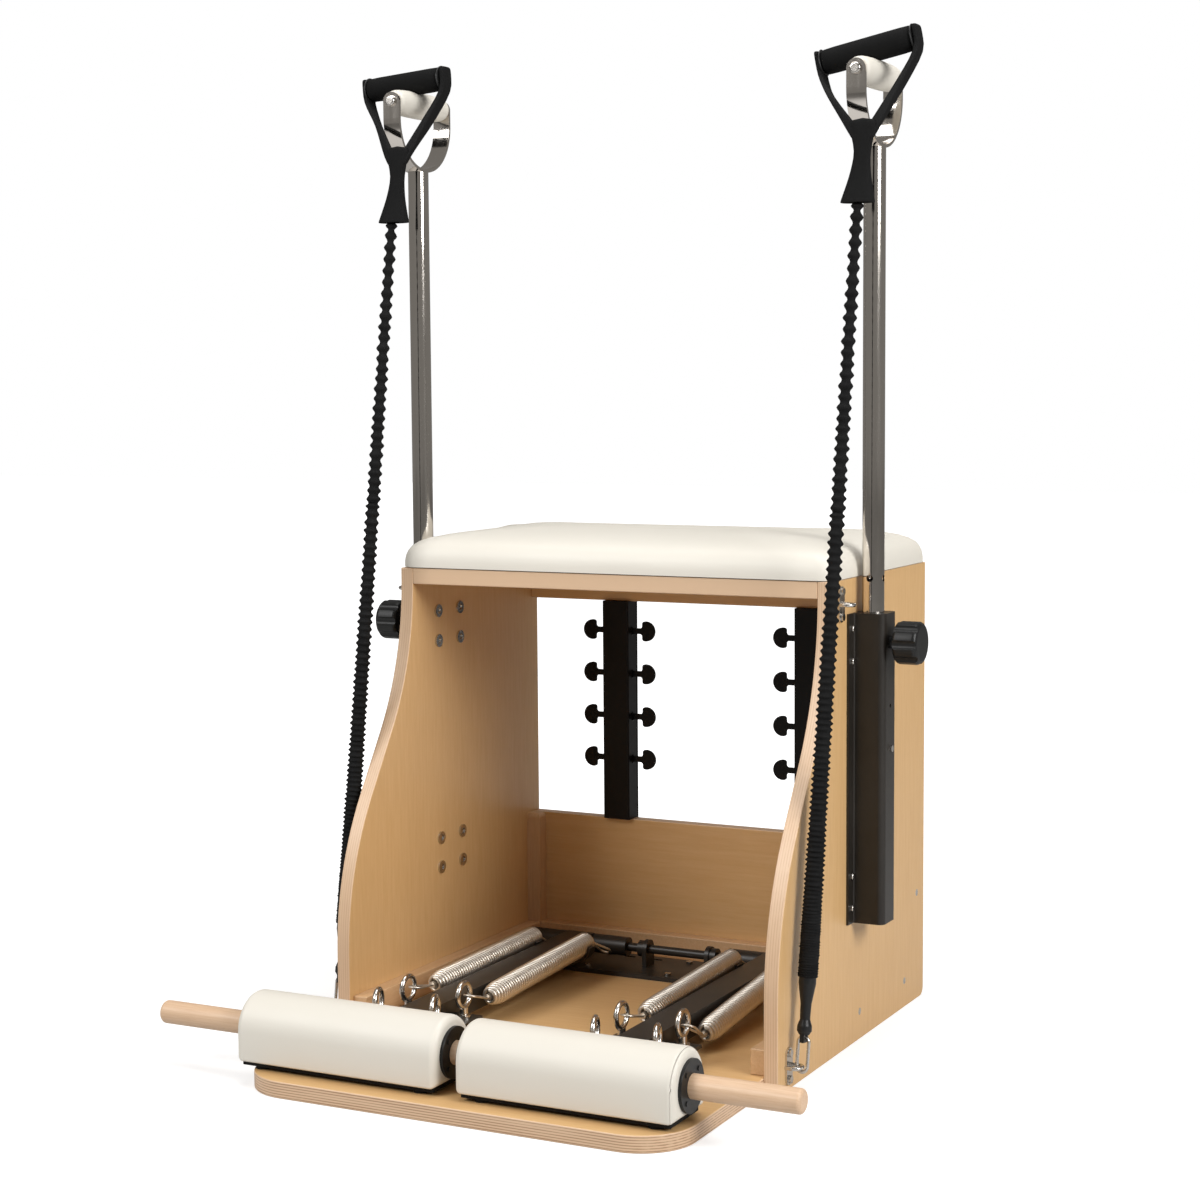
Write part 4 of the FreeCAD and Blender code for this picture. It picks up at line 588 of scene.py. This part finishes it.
pad_round = 0.0415
pad_round_steps = 20
pad_low_round = 0.003
pad_low_steps = 6
pad_end_round = 0.008
pad_end_flat = 0.003
pad_end_steps = 10
pad_hem = 0.001
pad_bore = 0.0146
dowel_low, dowel_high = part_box("locking_dowel")
dowel_middle = (dowel_low + dowel_high) / 2
lengthwise = Vector((1, 0, 0))
turned_lengthwise = Matrix.Rotation(math.pi / 2, 4, "Y")
for side in ("left", "right"):
    pad_low, pad_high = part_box(side + "_pedal_pad")
    pad_middle = (pad_low + pad_high) / 2
    pad_half = (pad_high - pad_low) / 2
    pad_shape = bmesh.new()
    outline = [(pad_low.y, pad_low.z), (pad_high.y, pad_low.z), (pad_high.y, pad_high.z),
               (pad_low.y, pad_high.z)]
    corners = [pad_shape.verts.new((pad_low.x, y, z)) for y, z in outline]
    pad_shape.faces.new(corners)
    bmesh.ops.bevel(pad_shape, geom=corners[2:], offset=pad_round, segments=pad_round_steps, profile=0.5,
                    affect="VERTICES", material=-1)
    low_corners = [vert for vert in pad_shape.verts if vert.co.z < pad_low.z + pad_low_round / 2]
    bmesh.ops.bevel(pad_shape, geom=low_corners, offset=pad_low_round, segments=pad_low_steps, profile=0.5,
                    affect="VERTICES", material=-1)
    whole_inset = pad_end_round + pad_end_flat
    stations = [(0.0, 1 - whole_inset / pad_half.y, 1 - whole_inset / pad_half.z)]
    for step in range(pad_end_steps + 1):
        turn = step / pad_end_steps * math.pi / 2
        inward = pad_end_round * (1 - math.sin(turn))
        place = pad_end_round * (1 - math.cos(turn))
        stations.append((place, 1 - inward / pad_half.y, 1 - inward / pad_half.z))
    far_stations = [(2 * pad_half.x - place, across, up) for place, across, up in reversed(stations)]
    near_hem = pad_end_round + pad_hem
    straight_stations = [(near_hem, 1, 1), (pad_half.x, 1, 1), (2 * pad_half.x - near_hem, 1, 1)]
    pad_shape.faces.ensure_lookup_table()
    drawn_along(pad_shape, pad_shape.faces[0], pad_middle, lengthwise,
                stations + straight_stations + far_stations)
    bore_rings = []
    for cap in [face for face in pad_shape.faces if len(face.verts) > pad_round_steps]:
        rim_edges = list(cap.edges)
        bore_middle = Vector((cap.verts[0].co.x, dowel_middle.y, dowel_middle.z))
        bmesh.ops.delete(pad_shape, geom=[cap], context="FACES_ONLY")
        ring = bmesh.ops.create_circle(pad_shape, cap_ends=False, segments=len(rim_edges), radius=pad_bore,
                                       matrix=Matrix.Translation(bore_middle) @ turned_lengthwise)
        ring_edges = list({line for vert in ring["verts"] for line in vert.link_edges})
        bmesh.ops.bridge_loops(pad_shape, edges=rim_edges + ring_edges)
        bore_rings += ring_edges
    bmesh.ops.bridge_loops(pad_shape, edges=bore_rings)
    pad = piece(side + "_pad_cover", pad_shape, white_leather)
    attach(pad, side + "_pedal")
    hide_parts(side + "_pedal_pad")


# Pedal springs: bright nickel wire wound turn against turn, drawn in to a cone at both ends
# so that the stems of the wire links can't pull out. The links and the eyebolts are the CAD ones.
nickel_colour = (0.64, 0.59, 0.52, 1)
spring_steel = metal("spring_steel", nickel_colour, low=0.34, high=0.46, scale=40, stretch_scale=even_rub,
                     strength=0.02)
spring_outer = 0.015
spring_wire = 0.0051
spring_wire_sides = 8
spring_steps = 18
spring_first_turns = 12
spring_doublings = 2
spring_cones = (0.022, 0.010)
spring_mouths = (0.0082, 0.0108)
spring_cone_power = 1.6
spring_front = -0.062
spring_back = 0.205
spring_back_height = 0.0658
springs = {"left_outer": (-0.197, 0.062), "left_inner": (-0.117, 0.055),
           "right_inner": (0.099, 0.057), "right_outer": (0.179, 0.044)}
spring_reach = spring_outer - spring_wire / 2
spring_turns = spring_first_turns * 2 ** spring_doublings
merge_distance = 1e-6
for name, (spring_place, front_height) in springs.items():
    spring_start = Vector((spring_place, spring_front, front_height))
    spring_way = Vector((spring_place, spring_back, spring_back_height)) - spring_start
    length = spring_way.length
    pitch = length / spring_turns
    coil_shape = bmesh.new()
    upended = Matrix.Translation((spring_reach, 0, 0)) @ Matrix.Rotation(math.pi / 2, 4, "X")
    bmesh.ops.create_circle(coil_shape, cap_ends=False, segments=spring_wire_sides, radius=spring_wire / 2,
                            matrix=upended)
    bmesh.ops.spin(coil_shape, geom=coil_shape.verts[:] + coil_shape.edges[:], cent=(0, 0, 0),
                   axis=upward_axis, dvec=(0, 0, pitch / spring_steps),
                   angle=2 * math.pi * spring_first_turns,
                   steps=spring_first_turns * spring_steps)
    for doubling in range(spring_doublings):
        whole = coil_shape.verts[:] + coil_shape.edges[:] + coil_shape.faces[:]
        copied = bmesh.ops.duplicate(coil_shape, geom=whole)["geom"]
        moved = [item for item in copied if isinstance(item, bmesh.types.BMVert)]
        bmesh.ops.translate(coil_shape, vec=(0, 0, pitch * spring_first_turns * 2 ** doubling), verts=moved)
    bmesh.ops.remove_doubles(coil_shape, verts=coil_shape.verts, dist=merge_distance)
    for vert in coil_shape.verts:
        radial = Vector((vert.co.x, vert.co.y, 0)).normalized()
        for from_end, run, mouth in zip((vert.co.z, length - vert.co.z), spring_cones, spring_mouths):
            cone_share = min(1, max(0, 1 - from_end / run))
            vert.co -= radial * ((spring_reach - mouth) * cone_share ** spring_cone_power)
    lie = Matrix.Translation(spring_start) @ spring_way.to_track_quat("Z", "X").to_matrix().to_4x4()
    bmesh.ops.transform(coil_shape, matrix=lie, verts=coil_shape.verts)
    coil = piece(name + "_winding", coil_shape, spring_steel)
    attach(coil, name + "_spring")
    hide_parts(name + "_spring")
dress(spring_steel, *[name + "_spring_links" for name in springs])


# Poles and yokes: drawn steel tube and flat strip, polished, with fine marks along their length.
# Padded grips of the same leather sit between the yoke arms on a rod.
steel_colour = (0.72, 0.675, 0.62, 1)
upright_rub = (6, 6, 0.4)
polished_steel = metal("polished_steel", steel_colour, low=0.07, high=0.13, scale=30,
                       stretch_scale=upright_rub, strength=0.004)
dress(polished_steel, "left_pole", "right_pole", "left_yoke", "right_yoke")


def lathe(shape, points, middle, axis, steps, closed=False):
    """Spins a line of points a whole turn about an axis through a middle."""
    rim = [shape.verts.new(point) for point in points]
    ends = rim[1:] + rim[:1] if closed else rim[1:]
    lines = [shape.edges.new(pair) for pair in zip(rim, ends)]
    bmesh.ops.spin(shape, geom=rim + lines, cent=middle, axis=axis, angle=2 * math.pi, steps=steps,
                   use_merge=True)


def rounded(made, levels):
    """Gives a piece a subdivision surface."""
    round_off = made.modifiers.new("round", "SUBSURF")
    round_off.levels = round_off.render_levels = levels


grip_waist = 0.0165
grip_full = 0.0178
grip_bore = 0.0042
grip_ease = 0.004
grip_steps = 40
for side in ("left", "right"):
    grip_low, grip_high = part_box(side + "_grip")
    grip_middle = (grip_low + grip_high) / 2
    grip_half = (grip_high.y - grip_low.y) / 2
    grip_shape = bmesh.new()
    half_profile = [(grip_half, grip_bore), (grip_half, grip_waist - grip_ease),
                    (grip_half - grip_ease, grip_waist)]
    profile = [(-along, out) for along, out in half_profile] + [(0, grip_full)] + half_profile[::-1]
    rim_points = [grip_middle + Vector((0, along, out)) for along, out in profile]
    lathe(grip_shape, rim_points, grip_middle, (0, 1, 0), grip_steps)
    grip = piece(side + "_grip_cover", grip_shape, white_leather)
    rounded(grip, 2)
    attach(grip, side + "_pole")
    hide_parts(side + "_grip")


# D-handles: a bar of black foam with woven webbing from its ends to a sewn neck, and a flared cuff
# that covers the cord's top.
foam_black = (0.006, 0.006, 0.006, 1)
foam = moulded("black_foam", foam_black, low=0.75, high=0.9, grain_size=700, strength=0.35, shine=0.12)
web_deep = (0.004, 0.004, 0.004, 1)
rib_depth = 0.0005
webbing, web_nodes, web_links, web_shader = shader("black_webbing", Roughness=0.78, Specular_IOR_Level=0.14)
web_place = new_node(web_nodes, "TexCoord")
web_ribs = new_node(web_nodes, "TexWave", Scale=260, Distortion=1.2, Detail=2)
web_ribs.bands_direction = "Z"
web_links.new(web_place.outputs["Object"], web_ribs.inputs["Vector"])
web_colour = ramp(web_nodes, web_links, web_ribs.outputs["Fac"], [(0.0, web_deep), (1.0, soft_black)])
web_links.new(web_colour, web_shader.inputs["Base Color"])
bump_to(web_nodes, web_links, web_ribs.outputs["Fac"], web_shader, strength=0.35, depth=rib_depth)


def drawn_through(shape, rings, segments, squareness):
    """A closed skin through level rings, each a middle, a half width and a half depth."""
    loop = bmesh.ops.create_circle(shape, cap_ends=True, segments=segments, radius=1)["verts"]
    cap = loop[0].link_faces[0]
    last_middle = Vector((0, 0, 0))
    for number, (middle, half_width, half_depth) in enumerate(rings):
        if number:
            cap, loop = extruded(shape, cap)
        loop = sorted(loop, key=lambda vert: math.atan2(vert.co.y - last_middle.y,
                                                        vert.co.x - last_middle.x))
        for index, vert in enumerate(loop):
            angle = -math.pi + 2 * math.pi * (index + 0.5) / segments
            x = math.copysign(abs(math.cos(angle)) ** squareness, math.cos(angle))
            y = math.copysign(abs(math.sin(angle)) ** squareness, math.sin(angle))
            vert.co = middle + Vector((x * half_width, y * half_depth, 0))
        last_middle = middle


bar_radius = 0.0155
bar_half = 0.0575
bar_bore = 0.004
bar_end_round = 0.003
bar_end_draw = 0.0004
bar_end_run = 0.016
bar_steps = 36
bar_middles = {"left": Vector((-0.3285, 0.118, 1.211)), "right": Vector((0.3155, 0.118, 1.211))}
bar_yaws = {"left": math.radians(-5.0), "right": math.radians(-1.0)}
bar_tilts = {"left": math.radians(3.7), "right": math.radians(10.8)}
washer_radius = 0.0165
washer_half = 0.0010
washer_bore = 0.005
washer_edge = 0.001
strap_gap = 0.002
strap_half = 0.0034
strap_deep = 0.0118
strap_top_rises = (0.0150, 0.0143, 0.0120)
strap_top_width_shares = (0.35, 0.8, 1)
strap_top_depth_shares = (0.45, 0.85, 1)
strap_under_depth_share = 0.96
strap_way_share = 0.55
turned_bends = {"left": Vector((-0.3334, 0.055, 1.153)), "right": Vector((0.2902, 0.055, 1.153))}
turned_bend_deep = 0.0040
free_bend_half = 0.0052
free_bend_deep = 0.0108
free_bend_shift = Vector((0.0018, 0, 0))
strap_low_height = 1.110
strap_low_spread = 0.011
strap_low_half = 0.0080
strap_low_deep = 0.0035
strap_tuck_height = 1.094
strap_tuck_spread = 0.0035
strap_tuck_half = 0.0060
strap_tuck_deep = 0.0042
strap_sides = 20
strap_squareness = 0.45
neck_places = {"left": Vector((-0.300, 0.046, 0)), "right": Vector((0.335, 0.046, 0))}
neck_waist_height = 1.086
cord_tops = {"left": Vector((-0.310, 0.046, 1.028)), "right": Vector((0.329, 0.046, 1.028))}
skirt_shifts = {"left": Vector((0.003, 0, 0)), "right": Vector((0, 0, 0))}
neck_rings = [(1.124, 0.0170, 0.0035), (1.113, 0.0155, 0.0038), (1.102, 0.0140, 0.0040),
              (neck_waist_height, 0.0096, 0.0046), (1.070, 0.0112, 0.0056), (1.056, 0.0135, 0.0070),
              (1.040, 0.0175, 0.0105), (1.0285, 0.0206, 0.0131), (1.0262, 0.0209, 0.0134),
              (1.0262, 0.0190, 0.0120), (1.034, 0.0155, 0.0112)]
neck_sides = 28
neck_squareness = 0.8
for side in ("left", "right"):
    bar_yaw = bar_yaws[side]
    bar_tilt = bar_tilts[side]
    bar_middle = bar_middles[side]
    along = Vector((math.cos(bar_yaw) * math.cos(bar_tilt), math.sin(bar_yaw) * math.cos(bar_tilt),
                    math.sin(bar_tilt)))
    lie = Matrix.Translation(bar_middle) @ along.to_track_quat("Z", "X").to_matrix().to_4x4()
    bar_shape = bmesh.new()
    half_profile = [(bar_half, bar_bore), (bar_half, bar_radius - bar_end_round),
                    (bar_half - bar_end_round, bar_radius - bar_end_draw),
                    (bar_half - bar_end_run, bar_radius)]
    profile = [(-far, out) for far, out in half_profile] + half_profile[::-1]
    lathe(bar_shape, [(out, 0, far) for far, out in profile], (0, 0, 0), upward_axis, bar_steps)
    bmesh.ops.transform(bar_shape, matrix=lie, verts=bar_shape.verts)
    bar = piece(side + "_foam_bar", bar_shape, foam)
    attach(bar, side + "_handle")
    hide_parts(side + "_handle_bar")
    washer_shape = bmesh.new()
    for sign in (-1, 1):
        washer_middle = sign * (bar_half + strap_gap / 2)
        profile = [(-washer_half, washer_bore), (-washer_half, washer_radius - washer_edge),
                   (0, washer_radius), (washer_half, washer_radius - washer_edge),
                   (washer_half, washer_bore)]
        lathe(washer_shape, [(out, 0, washer_middle + far) for far, out in profile], (0, 0, 0), upward_axis,
              bar_steps, closed=True)
    bmesh.ops.transform(washer_shape, matrix=lie, verts=washer_shape.verts)
    washer = piece(side + "_bar_washers", washer_shape, black_plastic)
    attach(washer, side + "_handle")
    web_shape = bmesh.new()
    upward = (upward_axis - along * along.z).normalized()
    neck_place = neck_places[side]
    for sign in (-1, 1):
        end = bar_middle + along * (sign * (bar_half + strap_gap + strap_half))
        low = neck_place + Vector((sign * strap_low_spread, 0, strap_low_height))
        tuck = neck_place + Vector((sign * strap_tuck_spread, 0, strap_tuck_height))
        under = end - upward * bar_radius
        if sign < 0:
            bend = turned_bends[side]
            bend_half = strap_half
            bend_deep = turned_bend_deep
        else:
            bend = under.lerp(low, 0.5) + free_bend_shift
            bend_half = free_bend_half
            bend_deep = free_bend_deep
        rings = [(end + upward * rise, strap_half * width_share, strap_deep * depth_share)
                 for rise, width_share, depth_share in zip(strap_top_rises, strap_top_width_shares,
                                                           strap_top_depth_shares)]
        rings += [(end, strap_half, strap_deep),
                  (under, strap_half, strap_deep * strap_under_depth_share),
                  (under.lerp(bend, strap_way_share), (strap_half + bend_half) / 2,
                   (strap_deep + bend_deep) / 2),
                  (bend, bend_half, bend_deep),
                  (bend.lerp(low, strap_way_share), (bend_half + strap_low_half) / 2,
                   (bend_deep + strap_low_deep) / 2),
                  (low, strap_low_half, strap_low_deep),
                  (tuck, strap_tuck_half, strap_tuck_deep)]
        drawn_through(web_shape, rings, strap_sides, strap_squareness)
    cuff = []
    cord_top = cord_tops[side]
    for height, half_width, half_depth in neck_rings:
        down_share = min(1, max(0, (neck_waist_height - height) / (neck_waist_height - cord_top.z)))
        middle = neck_place.lerp(cord_top + skirt_shifts[side], down_share)
        cuff.append((Vector((middle.x, middle.y, height)), half_width, half_depth))
    drawn_through(web_shape, cuff, neck_sides, neck_squareness)
    web = piece(side + "_handle_webbing", web_shape, webbing)
    rounded(web, 1)
    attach(web, side + "_handle")
    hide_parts(side + "_handle_strap")


# Elastic cords: a rubber core inside a gathered sleeve of black knit, bunched tight above its moulded end
# and drawn out towards the handle, so that its ruffles stand close below and apart above.
cord_feet = {"left": Vector((-0.3175, -0.097, 0.029)), "right": Vector((0.3175, -0.097, 0.029))}
cord_start = 0.105
cord_split = 0.644
cord_hook_run = 0.12
cord_sides = 22
cord_path_steps = 40
route_resolution = 24
ruffle_places = (0.0, 0.05, 0.10, 0.17, 0.22, 0.50, 0.92)
ruffle_pitches = (0.0029, 0.0031, 0.0053, 0.0063, 0.0068, 0.0106, 0.0124)
ruffle_crests = (0.0120, 0.0120, 0.0119, 0.0112, 0.0108, 0.0095, 0.0095)
ruffle_valleys = (0.0113, 0.0112, 0.0099, 0.0088, 0.0081, 0.0064, 0.0064)
ruffle_pitch_shares = (0.92, 1.08)
ruffle_jitter = 0.0004
ruffle_lean = 0.06
ruffle_power = 1.2
ruffle_steps = 6
knit_deep = (0.004, 0.004, 0.0042, 1)
knit_depth = 0.0005
sleeve_knit, knit_nodes, knit_links, knit_shader = shader("sleeve_knit", Roughness=0.82,
                                                          Specular_IOR_Level=0.18)
knit_place = new_node(knit_nodes, "TexCoord").outputs["Object"]
knit_loops = new_node(knit_nodes, "TexVoronoi", Scale=700)
knit_links.new(knit_place, knit_loops.inputs["Vector"])
knit_cloud = noise(knit_nodes, knit_links, knit_place, Scale=60)
knit_colour = ramp(knit_nodes, knit_links, knit_cloud, [(0.25, knit_deep), (0.8, soft_black)])
knit_links.new(knit_colour, knit_shader.inputs["Base Color"])
bump_to(knit_nodes, knit_links, knit_loops.outputs["Distance"], knit_shader, strength=0.3, depth=knit_depth)


def route_line(points):
    """The points of the smooth spline whose control points are the route's."""
    curve = bpy.data.curves.new("route", "CURVE")
    curve.dimensions = "3D"
    curve.resolution_u = route_resolution
    spline = curve.splines.new("NURBS")
    spline.points.add(len(points) - 1)
    for knot, point in zip(spline.points, points):
        knot.co = (point.x, point.y, point.z, 1)
    spline.order_u = 3
    spline.use_endpoint_u = True
    holder = bpy.data.objects.new("route", curve)
    scene.collection.objects.link(holder)
    bpy.context.view_layer.update()
    line = [vertex.co.copy() for vertex in bpy.data.meshes.new_from_object(holder).vertices]
    bpy.data.objects.remove(holder)
    return line


def point_on(line, distance):
    """The place and direction at a distance along a line of points."""
    for start, end in zip(line, line[1:]):
        run = (end - start).length
        if distance <= run:
            break
        distance -= run
    return start + (end - start) * (distance / run), (end - start).normalized()


def between(place, values):
    """The value at a place on the cord, in even steps between the listed ones."""
    for number in range(len(values) - 2):
        if place < ruffle_places[number + 1]:
            break
    share = (place - ruffle_places[number]) / (ruffle_places[number + 1] - ruffle_places[number])
    return values[number] + (values[number + 1] - values[number]) * share


def set_across(middle, onward):
    """The turn that sets a level ring across the line at a middle."""
    return Matrix.Translation(middle) @ onward.to_track_quat("Z", "X").to_matrix().to_4x4()


def ruffles(line, first, last, seed):
    """A gathered tube along a line: rings that swell and draw in with each ruffle."""
    chance = random.Random(seed)
    rings = []
    place = first
    while place < last - ruffle_pitches[0] / 2:
        pitch = min(between(place, ruffle_pitches) * chance.uniform(*ruffle_pitch_shares), last - place)
        crest = between(place, ruffle_crests) + chance.uniform(-ruffle_jitter, ruffle_jitter)
        valley = between(place, ruffle_valleys)
        shift = Vector((chance.uniform(-1, 1), chance.uniform(-1, 1), 0)) * ruffle_jitter
        first_lean = Matrix.Rotation(chance.uniform(-ruffle_lean, ruffle_lean), 4, "X")
        second_lean = Matrix.Rotation(chance.uniform(-ruffle_lean, ruffle_lean), 4, "Y")
        for step in range(ruffle_steps):
            phase = step / ruffle_steps
            swell = ((1 - math.cos(2 * math.pi * phase)) / 2) ** ruffle_power
            middle, onward = point_on(line, place + pitch * phase)
            turn = set_across(middle + shift * swell, onward)
            if swell > 0.5:
                turn = turn @ first_lean @ second_lean
            rings.append((turn, valley + (crest - valley) * swell))
        place += pitch
    rings.append((set_across(*point_on(line, last)), valley))
    shape = bmesh.new()
    bmesh.ops.create_grid(shape, x_segments=cord_sides, y_segments=len(rings) - 1, size=0.5)
    for vert in shape.verts:
        angle = 2 * math.pi * (vert.co.x + 0.5)
        turn, radius = rings[round((vert.co.y + 0.5) * (len(rings) - 1))]
        vert.co = turn @ Vector((radius * math.cos(angle), radius * math.sin(angle), 0))
    bmesh.ops.remove_doubles(shape, verts=shape.verts, dist=merge_distance)
    bmesh.ops.holes_fill(shape, edges=[line for line in shape.edges if line.is_boundary], sides=0)
    return shape


for side in ("left", "right"):
    foot = cord_feet[side]
    top = cord_tops[side]
    onward = (top - foot).normalized()
    start = foot + onward * cord_start
    hook_run = onward * cord_hook_run
    line = route_line([start, start + hook_run, start.lerp(top, 0.5), top - hook_run, top])
    whole_length = sum((b - a).length for a, b in zip(line, line[1:]))
    split_at = cord_split - cord_start
    for name, first, last, low_body, high_body, seed in (
            ("lower", 0.0, split_at, "chair_frame", side + "_pole", 3),
            ("upper", split_at, whole_length, side + "_pole", side + "_handle", 5)):
        begin = point_on(line, first)[0]
        finish_point = point_on(line, last)[0]
        sleeve = piece(side + "_" + name + "_sleeve", ruffles(line, first, last, seed), sleeve_knit)
        path = [point_on(line, first + (last - first) * step / cord_path_steps)[0]
                for step in range(cord_path_steps + 1)]
        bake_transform(sleeve)
        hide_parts(side + "_cord_" + name)
